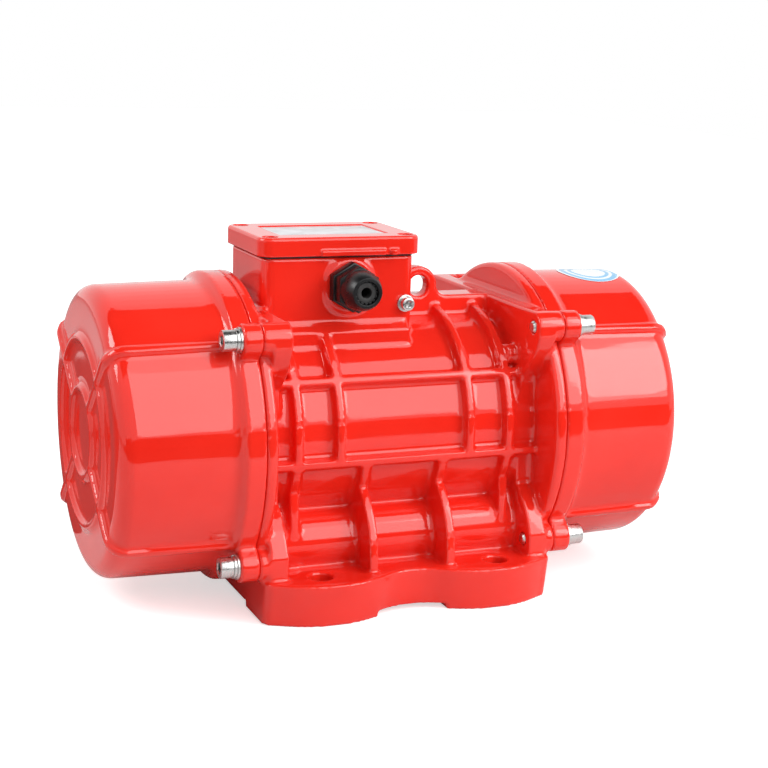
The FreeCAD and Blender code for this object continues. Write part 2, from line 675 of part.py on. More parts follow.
def hoop(name, middle):
    """A hoop rib over the barrel, from one lower long rib to the other."""
    body = new_body(name, True)
    sketch = outline(body, name + "_profile", "XZ_Plane", [
        (f"{middle} - rib_t / 2", "barrel_r - sunk"), (f"{middle} + rib_t / 2", "barrel_r - sunk"),
        (f"{middle} + rib_t / 2 - rib_draft", "crest_r"), (f"{middle} - rib_t / 2 + rib_draft", "crest_r")])
    feature = turn_feature(body, sketch, name + "_turned")
    feature.Midplane = True
    feature.setExpression("Angle", cells("180 + 2 * lower_rib_angle"))
    return body


hoops = [hoop(f"hoop_{number}", middle) for number, middle in enumerate(
    ["-outer_rib_x", "-inner_rib_x", "inner_rib_x", "outer_rib_x"])]
long_ribs = [
    spoke(f"long_rib_{number}", ("-disc_x", "disc_x"), "barrel_r - sunk", "crest_r", "axial_rib_t", angle)
    for number, angle in enumerate([
        "upper_rib_angle", "180 - upper_rib_angle", "-lower_rib_angle", "180 + lower_rib_angle"])]

# ---------------------------------------------------------------- housing: end plates and ears



def end_plate(name, low, high):
    """The plate between a flange's four ears, necked beside the barrel."""
    side = "(ear_y + ear_r)"
    top = "(ear_z + ear_r)"
    under = "(ear_z - ear_r / 2)"
    return extruded(name, "YZ_Plane", [
        ("-ear_y", top, "ear_r"), (f"-{side}", "ear_z"), (f"-{side}", under, "-plate_neck_r"),
        ("-plate_neck_y", "plate_neck_z"), ("-plate_neck_y", "-plate_neck_z", "-plate_neck_r"),
        (f"-{side}", f"-{under}"), (f"-{side}", f"{foot_line} - overrun"),
        (side, f"{foot_line} - overrun"), (side, f"-{under}", "-plate_neck_r"),
        ("plate_neck_y", "-plate_neck_z"), ("plate_neck_y", "plate_neck_z", "-plate_neck_r"),
        (side, under), (side, "ear_z", "ear_r"), ("ear_y", top)], low, high, True)


plates = [end_plate("left_plate", "-disc_x - overrun", "-plate_x"),
          end_plate("right_plate", "plate_x", "disc_x + overrun")]


def at_ears(name, radius, low, high):
    """Rods along the shaft at the four cover screws of one end."""
    return [rod(f"{name}_{number}", radius, "x", (f"{flip_y} * ear_y", f"axis_z + {flip_z} * ear_z"),
                low, high)
            for number, (flip_y, flip_z) in enumerate([(-1, -1), (-1, 1), (1, -1), (1, 1)])]


def at_bosses(name, radius, low, high):
    """Rods along the shaft at the four shield screws of one end."""
    across, rise = "(boss_radius * cos(ear_angle))", "(boss_radius * sin(ear_angle))"
    return [rod(f"{name}_{number}", radius, "x", (f"{flip_y} * {across}", f"axis_z + {flip_z} * {rise}"),
                low, high)
            for number, (flip_y, flip_z) in enumerate([(-1, -1), (-1, 1), (1, -1), (1, 1)])]


ears = (at_ears("left_ear", "ear_r", "-parting_x", "-plate_x")
        + at_ears("right_ear", "ear_r", "plate_x", "parting_x"))
bosses = (at_bosses("left_boss", "boss_r", "-plate_x - overrun", "-boss_x")
          + at_bosses("right_boss", "boss_r", "boss_x", "plate_x + overrun"))

# ---------------------------------------------------------------- housing: rail, eye and box

rail = box("rail", ("box_x", "plate_x + overrun"), ("-rail_y", "rail_y"),
    ("axis_z + barrel_r - rail_sunk", "rail_top"))
eye_foot = "(eye_z - rail_top)"
eye_lug = extruded("eye_lug", "XZ_Plane", [
    ("eye_x - eye_r", "rail_top - sunk"), ("eye_x + eye_r", "rail_top - sunk"),
    (f"eye_x + eye_r + {eye_foot}", "rail_top - sunk"), (f"eye_x + eye_r + {eye_foot}", "rail_top",
        eye_foot),
    ("eye_x + eye_r", "eye_z", "-eye_r"), ("eye_x", "eye_z + eye_r", "-eye_r"),
    ("eye_x - eye_r", "eye_z")], "-rail_y", "eye_t - rail_y")

box_body = new_body("box_shell")
box_sketch = outline(box_body, "box_outline", "XY_Plane",
                     rounded_rectangle("box_x", "box_half_x", "box_half_y", "box_corner"),
                     "axis_z + barrel_r / 2")
box_pad = box_body.newObject("PartDesign::Pad", "box_pad")
box_pad.Profile = box_sketch
box_pad.setExpression("Length", cells("box_top - axis_z - barrel_r / 2"))
skirt = extruded("skirt", "YZ_Plane", [
    ("-skirt_y", "axis_z + barrel_r / 2"), ("skirt_y", "axis_z + barrel_r / 2"),
    ("skirt_y", "skirt_low"), ("box_half_y - overrun", "skirt_top"),
    ("overrun - box_half_y", "skirt_top"), ("-skirt_y", "skirt_low")], "-plate_x - overrun", "skirt_x")
gland_boss = rod("gland_boss", "gland_boss_r", "y", ("gland_x", "gland_z"),
                 "-box_half_y - gland_boss_t", "-box_half_y + sunk")

# ---------------------------------------------------------------- housing: hollows and holes

bore = turned("housing_bore", [
    ("-parting_x - overrun", "0"), ("-parting_x - overrun", "seat_r"), ("-seat_x", "seat_r"),
    ("-seat_x", "bore_r"), ("seat_x", "bore_r"), ("seat_x", "seat_r"),
    ("parting_x + overrun", "seat_r"), ("parting_x + overrun", "0")])
hollow_body = new_body("box_hollow")
hollow_sketch = outline(hollow_body, "box_hollow_outline", "XY_Plane", rounded_rectangle(
    "box_x", "(box_half_x - box_wall)", "(box_half_y - box_wall)", "(box_corner - box_wall / 2)"),
    "box_floor")
hollow_pad = hollow_body.newObject("PartDesign::Pad", "box_hollow_pad")
hollow_pad.Profile = hollow_sketch
hollow_pad.setExpression("Length", cells("box_top - box_floor + overrun"))


def at_lid_screws(name, radius, low, high):
    """Upright rods at the four lid screws."""
    return [rod(f"{name}_{number}", radius, "z",
                (f"box_x + {flip_x} * lid_screw_x", f"{flip_y} * lid_screw_y"), low, high)
            for number, (flip_x, flip_y) in enumerate([(-1, -1), (-1, 1), (1, -1), (1, 1)])]


box_hollow = cut("box_room", hollow_body,
                 *at_lid_screws("pillar", "pillar_r", "box_floor - overrun", "box_top + sunk"))
ground_gaps = [
    box("ground_gap_x", ("-pad_gap_x", "pad_gap_x"), ("-lobe_y_top", "lobe_y_top"), ("-overrun",
        "pad_lift")),
    box("ground_gap_y", ("-foot_end_x - overrun", "foot_end_x + overrun"), ("-pad_gap_y", "pad_gap_y"),
        ("-overrun", "pad_lift"))]
cores = [
    box("core_middle", ("core_web_t / 2 - web_x", "web_x - core_web_t / 2"), ("-core_y", "core_y"),
        ("-overrun", "core_h")),
    box("core_left", ("-core_x", "-web_x - core_web_t / 2"), ("-core_y", "core_y"), ("-overrun", "core_h")),
    box("core_right", ("web_x + core_web_t / 2", "core_x"), ("-core_y", "core_y"), ("-overrun", "core_h"))]
bolt_holes = [
    rod(f"bolt_hole_{number}", "bolt_hole_r", "z",
        (f"{flip_x} * bolt_pitch_x / 2", f"{flip_y} * bolt_pitch_y / 2"), "-overrun", "foot_h + foot_over")
    for number, (flip_x, flip_y) in enumerate([(-1, -1), (-1, 1), (1, -1), (1, 1)])]
thread_holes = (
    at_ears("left_ear_hole", "cover_screw_r + fit_gap", "-parting_x - overrun", "-plate_x + overrun")
    + at_ears("right_ear_hole", "cover_screw_r + fit_gap", "plate_x - overrun", "parting_x + overrun")
    + at_bosses("left_boss_hole", "shield_screw_r + fit_gap", "-seat_x - overrun",
                "shield_screw_l - seat_x - shield_t + overrun")
    + at_bosses("right_boss_hole", "shield_screw_r + fit_gap",
        "seat_x + shield_t - shield_screw_l - overrun",
                "seat_x + overrun")
    + at_lid_screws("lid_thread", "lid_screw_r + fit_gap", "box_top - lid_thread_l", "box_top + overrun"))
holes = [
    rod("eye_hole", "eye_hole_r", "y", ("eye_x", "eye_z"), "-rail_y - overrun", "eye_t - rail_y + overrun"),
    rod("gland_hole", "gland_thread_r + fit_gap", "y", ("gland_x", "gland_z"),
        "-box_half_y - gland_boss_t - overrun", "box_wall - box_half_y + sunk"),
    rod("earth_hole", "earth_r + fit_gap", "y", ("earth_x", "earth_z"),
        "-box_half_y - overrun", "earth_l - box_half_y"),
    rod("wire_hole", "wire_hole_r", "z", ("wire_hole_x", "0"), "axis_z + bore_r / 2",
        "box_floor + overrun")]

housing_solid = fused("housing_solid", feet, pedestal, barrel, *webs, *hoops, *long_ribs, *plates,
                      *ears, *bosses, rail, eye_lug, box_body, skirt, gland_boss)
node("housing", cut("housing", housing_solid, bore, box_hollow, *ground_gaps, *cores, *bolt_holes,
                    *thread_holes, *holes))

# ---------------------------------------------------------------- covers

slope_x = "(parting_x + rim_t + rim_slope)"
slope_r = "(cover_r - cover_taper * (rim_t + rim_slope))"
cover_skin = turned("cover_skin", [
    ("parting_x", "0"), ("parting_x", "disc_r"), ("parting_x + rim_t", "disc_r"),
    (slope_x, slope_r), ("cover_end_x - cover_round", "cover_end_r", "cover_round"),
    ("cover_end_x", "cover_end_r - cover_round"), ("cover_end_x", "0")])
cover_room = turned("cover_room", [
    ("parting_x - overrun", "0"), ("parting_x - overrun", "cover_r - cover_wall"),
    ("cover_end_x - cover_round", "cover_end_r - cover_wall", "cover_round - cover_wall"),
    ("cover_end_x - cover_wall", "cover_end_r - cover_round"), ("cover_end_x - cover_wall", "0")])
rib_envelope = turned("cover_rib_envelope", [
    ("parting_x + rim_t / 2", "small_ring_r"),
    ("parting_x + rim_t / 2", "cover_r + cover_rib_h"),
    ("cover_end_x - cover_round", "cover_end_r + cover_rib_h", "cover_round + cover_rib_h"),
    ("cover_end_x + cover_rib_h", "cover_end_r - cover_round"), ("cover_end_x + cover_rib_h",
        "small_ring_r")])
rib_cross = fused("cover_rib_cross", *[
    spoke(f"cover_bar_{number}", ("parting_x + rim_t / 2", "cover_end_x + 2 * cover_rib_h"),
          "-disc_r", "disc_r + cover_rib_h", "cover_rib_t", angle)
    for number, angle in enumerate(["180 - cover_rib_high", "cover_rib_low - 180"])])
cover_ribs = shared("cover_ribs", rib_envelope, rib_cross)


def ring_rib(name, radius):
    """A low ring on the cover's end face."""
    return turned(name, [
        ("cover_end_x - overrun", f"{radius} - ring_rib_t / 2"), ("cover_end_x - overrun",
            f"{radius} + ring_rib_t / 2"),
        ("cover_end_x + cover_rib_h", f"{radius} + ring_rib_t / 2 - rib_draft"),
        ("cover_end_x + cover_rib_h", f"{radius} - ring_rib_t / 2 + rib_draft")])


cover_ears = at_ears("cover_ear", "ear_r", "parting_x", "parting_x + rim_t")
cover_lugs = [
    spoke(f"cover_lug_{number}", ("parting_x", "parting_x + rim_t"), "cover_r - cover_wall",
          "ear_radius", "2 * ear_r", angle)
    for number, angle in enumerate(["ear_angle", "-ear_angle", "180 - ear_angle", "ear_angle - 180"])]
seal_groove = turned("seal_groove", [
    ("parting_x - overrun", "seal_r - seal_d * groove_ratio"), ("parting_x + seal_d",
        "seal_r - seal_d * groove_ratio"),
    ("parting_x + seal_d", "seal_r + seal_d * groove_ratio"), ("parting_x - overrun",
        "seal_r + seal_d * groove_ratio")])
cover_solid = fused("cover_solid", cover_skin, cover_ribs, ring_rib("small_ring", "small_ring_r"),
                    ring_rib("large_ring", "large_ring_r"), *cover_ears, *cover_lugs)
cover = cut("cover", cover_solid, cover_room, seal_groove,
            *at_ears("cover_ear_hole", "cover_screw_r + ear_hole_gap", "parting_x - overrun",
                "ear_face + overrun"),
            *at_ears("cover_spot", "flat_washer_r + spot_gap", "ear_face", "ear_face + spot_h"))
both_ends("cover", cover)

both_ends("cover_seal", turned("cover_seal", [
    ("parting_x", "seal_r - seal_d / 2"), ("parting_x + seal_d", "seal_r - seal_d / 2"),
    ("parting_x + seal_d", "seal_r + seal_d / 2"), ("parting_x", "seal_r + seal_d / 2")]))


def ear_places(offset):
    """Where a piece along X sits on each of the eight ears, offset from the cover's ear face."""
    places = []
    for side in SIDES:
        for flip_y in SIDES:
            for flip_z in SIDES:
                place = polar("ear_radius", "ear_angle", flip_y)
                at = Vector(side * (size("parting_x + rim_t") + offset), place.y,
                            size("axis_z") + flip_z * place.z)
                places.append(Placement(at, facing(Vector(side, 0, 0))))
    return places


flat_washer = washer("flat_washer", "flat_washer_r", "cover_screw_r + screw_gap", "flat_washer_t")
spring_ring = washer("spring_ring", "spring_washer_r", "cover_screw_r + ring_gap", "spring_washer_t")
spring_slit = box("spring_slit", ("-overrun", "spring_washer_t + overrun"), ("-slit_half", "slit_half"),
    ("0", "spring_washer_r + overrun"))
spring_washer = cut("spring_washer", spring_ring, spring_slit)
cover_screw = socket_screw("cover_screw", "cover_screw_r", "cover_screw_l", "cover_head_r", "cover_head_h")
node("cover_flat_washers", grouped("cover_flat_washers", flat_washer, ear_places(0)))
node("cover_spring_washers",
     grouped("cover_spring_washers", spring_washer, ear_places(size("flat_washer_t"))))
node("cover_screws",
     grouped("cover_screws", cover_screw, ear_places(size("flat_washer_t + spring_washer_t"))))

# ---------------------------------------------------------------- terminal box: lid and gasket

UP, FRONT = Vector(0, 0, 1), Vector(0, -1, 0)


def upright(name, half_x, half_y, corner, low, high):
    """A rounded block over the middle of the terminal box."""
    body = new_body(name)
    pad = body.newObject("PartDesign::Pad", name + "_pad")
    pad.Profile = outline(body, name + "_outline", "XY_Plane",
                          rounded_rectangle("box_x", half_x, half_y, corner), low)
    pad.setExpression("Length", cells(f"({high}) - ({low})"))
    return body


gasket_skin = upright("gasket_skin", "box_half_x", "box_half_y", "box_corner", "box_top", "lid_low")
gasket_room = cut("gasket_room", upright(
    "gasket_window", "(box_half_x - box_wall)", "(box_half_y - box_wall)", "(box_corner - box_wall / 2)",
    "box_top - overrun", "lid_low + overrun"),
    *at_lid_screws("gasket_lug", "pillar_r", "box_top - sunk", "lid_low + sunk"))
node("lid_gasket", cut("lid_gasket", gasket_skin, gasket_room,
                       *at_lid_screws("gasket_hole", "lid_screw_r + screw_gap", "box_top - overrun",
                           "lid_low + overrun")))

lid_body = upright("lid_block", "lid_half_x", "lid_half_y", "lid_corner", "lid_low", "lid_top")
doc.recompute()
lid_pad = lid_body.Tip
lid_round = lid_body.newObject("PartDesign::Fillet", "lid_round")
lid_round.Base = (lid_pad, [f"Edge{number}" for number, edge in enumerate(lid_pad.Shape.Edges, 1)
                            if edge.BoundBox.ZMin > size("lid_top") - 0.01])
lid_round.setExpression("Radius", cells("lid_round"))
lid_body.Tip = lid_round
lid_band = box("lid_band", ("lid_band_low_x", "lid_band_high_x"),
               ("-lid_half_y - lid_band_t", "overrun - lid_half_y"), ("lid_low", "lid_low + lid_band_h"))
lid_bump = rod("lid_bump", "lid_bump_r", "z", ("lid_bump_x", "overrun - lid_half_y"), "lid_low",
               "lid_low + lid_band_h")
lid_room = cut("lid_room", upright(
    "lid_hollow", "(box_half_x - box_wall)", "(box_half_y - box_wall)", "(box_corner - box_wall / 2)",
    "lid_low - overrun", "lid_low + lid_hollow"),
    *at_lid_screws("lid_lug", "pillar_r", "lid_low - sunk", "lid_low + lid_hollow + overrun"))
plate_recess = box("plate_recess", ("box_x - plate_half_x - plate_gap", "box_x + plate_half_x + plate_gap"),
                   ("-plate_half_y - plate_gap", "plate_half_y + plate_gap"),
                   ("lid_top - plate_sink", "lid_top + overrun"))
node("terminal_lid", cut(
    "terminal_lid", fused("lid_solid", lid_body, lid_band, lid_bump), lid_room, plate_recess,
    *at_lid_screws("lid_hole", "lid_screw_r + screw_gap", "lid_low - overrun", "lid_top + overrun"),
    *at_lid_screws("lid_sink", "lid_sink_r", "lid_seat", "lid_top + overrun")))
node("rating_plate", box("rating_plate", ("box_x - plate_half_x", "box_x + plate_half_x"),
                         ("-plate_half_y", "plate_half_y"),
                         ("lid_top - plate_sink", "lid_top - plate_sink + plate_t")))
lid_screw = socket_screw("lid_screw", "lid_screw_r", "lid_screw_l", "small_head_r", "small_head_h")
node("lid_screws", grouped("lid_screws", lid_screw, [
    Placement(Vector(size(f"box_x + {flip_x} * lid_screw_x"), size(f"{flip_y} * lid_screw_y"),
                     size("lid_seat")), facing(UP))
    for flip_x in SIDES for flip_y in SIDES]))

# ---------------------------------------------------------------- terminal board

STUDS = [(step, flip) for step in (-1, 0, 1) for flip in SIDES]


def stud_places(z):
    """Where pieces made along +X stand at the terminal studs, at height z."""
    return [Placement(Vector(size(f"board_x + {step} * stud_pitch_x"), size(f"{flip} * stud_y"), size(z)),
                      facing(UP)) for step, flip in STUDS]


board = box("board_block", ("board_x - board_half_x", "board_x + board_half_x"),
            ("-board_half_y", "board_half_y"), ("box_floor", "board_top"))
node("terminal_board", cut("terminal_board", board, *[
    rod(f"board_hole_{number}", "stud_r + fit_gap", "z",
        (f"board_x + {step} * stud_pitch_x", f"{flip} * stud_y"), "box_floor + sunk", "board_top + overrun")
    for number, (step, flip) in enumerate(STUDS)]))
stud = rod("stud", "stud_r", "x", ("0", "0"), "0", "stud_l + board_t - sunk")
node("terminal_studs", grouped("terminal_studs", stud, stud_places("box_floor + sunk")))
terminal_nut = cut("terminal_nut", hex_rod("terminal_nut_blank", "nut_r", "0", "nut_t"),
                   rod("terminal_nut_hole", "stud_r + fit_gap", "x", ("0", "0"), "-overrun",
                       "nut_t + overrun"))
node("terminal_nuts", grouped("terminal_nuts", terminal_nut, [
    *stud_places("board_top"), *stud_places("board_top + nut_t + link_t")]))
link_blank = box("link_blank", ("0", "link_t"), ("-stud_y - link_half", "stud_y + link_half"),
                 ("-link_half", "link_half"))
link = cut("link", link_blank, *[
    rod(f"link_hole_{number}", "stud_r + screw_gap", "x", (f"{flip} * stud_y", "0"), "-overrun",
        "link_t + overrun")
    for number, flip in enumerate(SIDES)])
node("terminal_links", grouped("terminal_links", link, [
    Placement(Vector(size(f"board_x + {step} * stud_pitch_x"), 0, size("board_top + nut_t")), facing(UP))
    for step in (-1, 0, 1)]))

# ---------------------------------------------------------------- cable gland and earth screw

gland_tube = turned("gland_tube", [
    ("-gland_wall - locknut_t - overrun", "gland_bore_r"), ("-gland_wall - locknut_t - overrun",
        "gland_thread_r"),
    ("gland_neck", "gland_thread_r"), ("gland_neck", "gland_bore_r")], False)
gland_ring = cut("gland_ring", hex_rod("gland_hexagon", "gland_hex_r", "0", "gland_hex_t"),
                 rod("gland_ring_bore", "gland_bore_r", "x", ("0", "0"), "-overrun",
                     "gland_hex_t + overrun"))
nut_skin = fused("nut_skin", hex_rod("nut_hexagon", "gland_nut_hex_r", "gland_hex_t",
                                     "gland_hex_t + gland_nut_hex_t"), turned("nut_dome", [
    ("gland_hex_t + gland_step", "0"), ("gland_hex_t + gland_step", "gland_nut_r"),
    ("gland_hex_t + gland_nut_hex_t + sunk", "gland_nut_r", "gland_dome_r"), ("gland_length",
        "gland_tip_r"),
    ("gland_length", "0")], False))
nut_bore = turned("nut_bore", [
    ("gland_hex_t - overrun", "0"), ("gland_hex_t - overrun", "gland_thread_r + fit_gap"),
    ("gland_neck + fit_gap", "gland_thread_r + fit_gap"), ("gland_neck + fit_gap",
        "gland_claw_r + fit_gap"),
    ("gland_length + overrun", "gland_claw_r + fit_gap"), ("gland_length + overrun", "0")], False)
claw_ring = washer("claw_ring", "gland_claw_r", "gland_bore_r + fit_gap",
    "gland_length - gland_neck - sunk")
claw_slits = [box(f"claw_slit_{number}", ("sunk", "gland_length"), low_high, across)
              for number, (low_high, across) in enumerate([
                  (("-gland_thread_r", "gland_thread_r"), ("-claw_slit / 2", "claw_slit / 2")),
                  (("-claw_slit / 2", "claw_slit / 2"), ("-gland_thread_r", "gland_thread_r"))])]
locknut = cut("locknut_blank", hex_rod("locknut_hexagon", "locknut_r", "-gland_wall - locknut_t",
                                       "-gland_wall"),
              rod("locknut_bore", "gland_thread_r + fit_gap", "x", ("0", "0"),
                  "-gland_wall - locknut_t - overrun", "0"))
for name, piece, start in (
        ("gland_body", fused("gland_body", gland_tube, gland_ring), "boss_face"),
        ("gland_nut", cut("gland_nut", nut_skin, nut_bore), "boss_face"),
        ("gland_claws", cut("gland_claws", claw_ring, *claw_slits), "boss_face - gland_neck - fit_gap"),
        ("gland_seal", washer("gland_seal", "gland_bore_r - fit_gap", "gland_seal_bore_r",
                              "gland_length / 2"), "boss_face - gland_length / 2 + sunk"),
        ("gland_locknut", locknut, "boss_face")):
    node(name, stood(piece, FRONT, "gland_x", start, "gland_z"))

node("earth_washer", stood(washer("earth_washer", "earth_washer_r", "earth_r + screw_gap",
    "earth_washer_t"),
                           FRONT, "earth_x", "-box_half_y", "earth_z"))
node("earth_screw", stood(
    socket_screw("earth_screw", "earth_r", "earth_l - earth_washer_t", "small_head_r", "small_head_h"),
    FRONT, "earth_x", "-box_half_y - earth_washer_t", "earth_z"))

# ---------------------------------------------------------------- bearing shields and caps

shield_skin = turned("shield_skin", [
    ("bearing_in - hub_lip", "lip_r"), ("bearing_in - hub_lip", "hub_r"),
    ("seat_x - spigot_l", "hub_r"), ("seat_x - spigot_l", "bore_r - fit_gap"),
    ("seat_x", "bore_r - fit_gap"), ("seat_x", "seat_r - fit_gap"), ("shield_face", "seat_r - fit_gap"),
    ("shield_face", "bearing_r + fit_gap"), ("bearing_in", "bearing_r + fit_gap"), ("bearing_in", "lip_r")])


def at_cap_screws(name, radius, low, high):
    """Rods along the shaft at the four cap screws of the right-hand end."""
    across = "cap_screw_radius * sqrt(0.5)"
    return [rod(f"{name}_{number}", radius, "x", (f"{flip_y} * {across}", f"axis_z + {flip_z} * {across}"),
                low, high)
            for number, (flip_y, flip_z) in enumerate([(-1, -1), (-1, 1), (1, -1), (1, 1)])]


shield = cut("bearing_shield", shield_skin,
             *at_bosses("shield_hole", "shield_screw_r + screw_gap", "seat_x - overrun",
                 "shield_face + overrun"),
             *at_cap_screws("cap_thread", "cap_screw_r + fit_gap",
                 "shield_face - cap_screw_l + cap_t - overrun",
                            "shield_face + overrun"))
both_ends("bearing_shield", shield)
cap_skin = turned("cap_skin", [
    ("bearing_out", "cap_land_r"), ("bearing_out", "bearing_r - fit_gap"), ("shield_face",
        "bearing_r - fit_gap"),
    ("shield_face", "hub_r"), ("shield_face + cap_t", "hub_r"), ("shield_face + cap_t", "cap_bore_r"),
    ("shield_face", "cap_bore_r"), ("shield_face", "cap_land_r")])
both_ends("bearing_cap", cut("bearing_cap", cap_skin, *at_cap_screws(
    "cap_hole", "cap_screw_r + screw_gap", "bearing_out", "shield_face + cap_t + overrun")))


def face_places(radius, angle, x):
    """Four places on a face at x and four on its left-hand twin, pointing outwards."""
    spots = [polar(radius, angle, flip_y) for flip_y in SIDES]
    return [Placement(Vector(side * size(x), spot.y, size("axis_z") + flip_z * spot.z),
                      facing(Vector(side, 0, 0)))
            for side in SIDES for spot in spots for flip_z in SIDES]


shield_screw = socket_screw("shield_screw", "shield_screw_r", "shield_screw_l", "shield_head_r",
                            "shield_head_h")
node("shield_screws", grouped("shield_screws", shield_screw,
                              face_places("boss_radius", "ear_angle", "shield_face")))
cap_screw = socket_screw("cap_screw", "cap_screw_r", "cap_screw_l", "small_head_r", "small_head_h")
node("cap_screws", grouped("cap_screws", cap_screw,
                           face_places("cap_screw_radius", "45", "shield_face + cap_t")))

# ---------------------------------------------------------------- roller bearings

both_ends("bearing_outer_ring", turned("outer_ring", [
    ("bearing_in", "race_lip_r"), ("bearing_in", "bearing_r"), ("bearing_out", "bearing_r"),
    ("bearing_out", "race_lip_r"), ("roller_high + race_gap", "race_lip_r"),
    ("roller_high + race_gap", "outer_race_r"), ("roller_low - race_gap", "outer_race_r"),
    ("roller_low - race_gap", "race_lip_r")]))
both_ends("bearing_inner_ring", turned("inner_ring", [
    ("bearing_in", "bearing_bore_r"), ("bearing_in", "inner_race_r"), ("bearing_out", "inner_race_r"),
    ("bearing_out", "bearing_bore_r")]))
ROLLERS = around(int(size("roller_count")))
roller = rod("roller", "roller_r", "x", ("0", "axis_z + pitch_r"), "roller_low", "roller_high")
both_ends("bearing_rollers", grouped("bearing_rollers", roller, ROLLERS))
pocket = rod("pocket", "roller_r + race_gap", "x", ("0", "axis_z + pitch_r"),
             "roller_low - race_gap", "roller_high + race_gap")
cage_skin = turned("cage_skin", [
    ("roller_low - cage_over", "pitch_r - cage_t / 2"), ("roller_low - cage_over", "pitch_r + cage_t / 2"),
    ("roller_high + cage_over", "pitch_r + cage_t / 2"), ("roller_high + cage_over",
        "pitch_r - cage_t / 2")])
both_ends("bearing_cage", cut("bearing_cage", cage_skin, grouped("pockets", pocket, ROLLERS)))

# ---------------------------------------------------------------- stator and rotor

SLOTS = around(int(size("slot_count")))
slot = spoke("slot", ("-core_half - overrun", "core_half + overrun"), "slot_low",
    "slot_low + slot_depth", "slot_t", "0")
core_skin = turned("core_skin", [
    ("-core_half", "stator_in"), ("-core_half", "bore_r - fit_gap"), ("core_half", "bore_r - fit_gap"),
    ("core_half", "stator_in")])
node("stator_core", cut("stator_core", core_skin, grouped("slots", slot, SLOTS)))
bar = spoke("coil_side", ("-core_half - coil_gap - overrun", "core_half + coil_gap + overrun"),
    "slot_low + fit_gap",
            "slot_low + slot_depth - fit_gap", "slot_t - 2 * fit_gap", "0")


def coil_head(name, side):
    """The ring of coil ends beyond one end of the core."""
    inner, outer = f"{side} * (core_half + coil_gap)", f"{side} * (core_half + coil_out)"
    return turned(name, [
        (inner, "slot_low"), (inner, "slot_low + coil_t"),
        (f"{outer} - {side} * coil_round", "slot_low + coil_t"), (outer, "slot_low + coil_t - coil_round"),
        (outer, "slot_low + coil_round"), (f"{outer} - {side} * coil_round", "slot_low")])


node("stator_winding", fused("stator_winding", coil_head("left_head", -1), coil_head("right_head", 1),
                             grouped("coil_sides", bar, SLOTS)))
node("rotor_core", turned("rotor_core", [
    ("-core_half", "core_shaft_r + fit_gap"), ("-core_half", "rotor_r"), ("core_half", "rotor_r"),
    ("core_half", "core_shaft_r + fit_gap")]))
both_ends("rotor_end_ring", turned("rotor_end_ring", [
    ("core_half", "end_ring_in"), ("core_half", "rotor_r - end_ring_step"),
    ("core_half + end_ring_t", "rotor_r - 3 * end_ring_step"), ("core_half + end_ring_t",
        "end_ring_in + overrun")]))

# ---------------------------------------------------------------- shaft and weights

groove_r = "weight_shaft_r - circlip_depth - fit_gap"
steps = [
    ("shaft_core_half", "core_shaft_r"), ("shaft_core_half", "shoulder_r"), ("bearing_in", "shoulder_r"),
    ("bearing_in", "bearing_bore_r - fit_gap"), ("weight_x", "bearing_bore_r - fit_gap"),
    ("weight_x", "weight_shaft_r"), ("circlip_x", "weight_shaft_r"), ("circlip_x", groove_r),
    ("circlip_x + circlip_t", groove_r), ("circlip_x + circlip_t", "weight_shaft_r"),
    ("shaft_end - overrun", "weight_shaft_r"), ("shaft_end", "weight_shaft_r - overrun"), ("shaft_end",
        "0")]
shaft_blank = turned("shaft_blank", [(f"-({along})", radius) for along, radius in reversed(steps)] + steps)
key_x = ("weight_x + (weight_t - key_l) / 2", "weight_x + (weight_t + key_l) / 2")
key_z = ("axis_z - key_low", "axis_z - key_high")
keyseats = [box(name, x, ("-key_t / 2", "key_t / 2"), key_z) for name, x in (
    ("right_keyseat", key_x), ("left_keyseat", tuple(f"-({value})" for value in reversed(key_x))))]
node("shaft", cut("shaft", shaft_blank, *keyseats))
pair("weight_keys", box("weight_key", key_x, ("fit_gap - key_t / 2", "key_t / 2 - fit_gap"), key_z))


def weight(name, low, *slots):
    """A half-round eccentric weight that hangs below the shaft, with a clamped hub."""
    sector = extruded(name + "_sector", "YZ_Plane", [
        ("-weight_r * cos(weight_sink)", "-weight_r * sin(weight_sink)", "-weight_r"),
        ("weight_r * cos(weight_sink)", "-weight_r * sin(weight_sink)"),
        ("weight_hub_r", "0"), ("-weight_hub_r", "0")], low, f"{low} + weight_t", True)
    blank = fused(name + "_blank", sector, rod(name + "_hub", "weight_hub_r", "x", ("0", "axis_z"),
                                               low, f"{low} + weight_t"))
    along = (f"{low} - overrun", f"{low} + weight_t + overrun")
    flat_z = ("axis_z + clamp_z - cover_head_r - head_room", "axis_z + weight_hub_r + overrun")
    return cut(
        name, blank, rod(name + "_bore", "weight_shaft_r + fit_gap", "x", ("0", "axis_z"), *along),
        box(name + "_slit", along, ("-clamp_slit / 2", "clamp_slit / 2"),
            ("axis_z", "axis_z + weight_hub_r + overrun")),
        box(name + "_front_flat", along, ("-weight_hub_r", "-clamp_half"), flat_z),
        box(name + "_rear_flat", along, ("clamp_half", "weight_hub_r"), flat_z),
        rod(name + "_clamp_hole", "cover_screw_r + screw_gap", "y",
            (f"{low} + weight_t / 2", "axis_z + clamp_z"), "-clamp_half - overrun",
                "clamp_half + overrun"), *slots)


def clamp_screw(name, low):
    """The screw that closes the slit hub of a weight."""
    return stood(socket_screw(name, "cover_screw_r", "2 * clamp_half", "cover_head_r", "cover_head_h"),
                 FRONT, f"{low} + weight_t / 2", "-clamp_half", "axis_z + clamp_z")


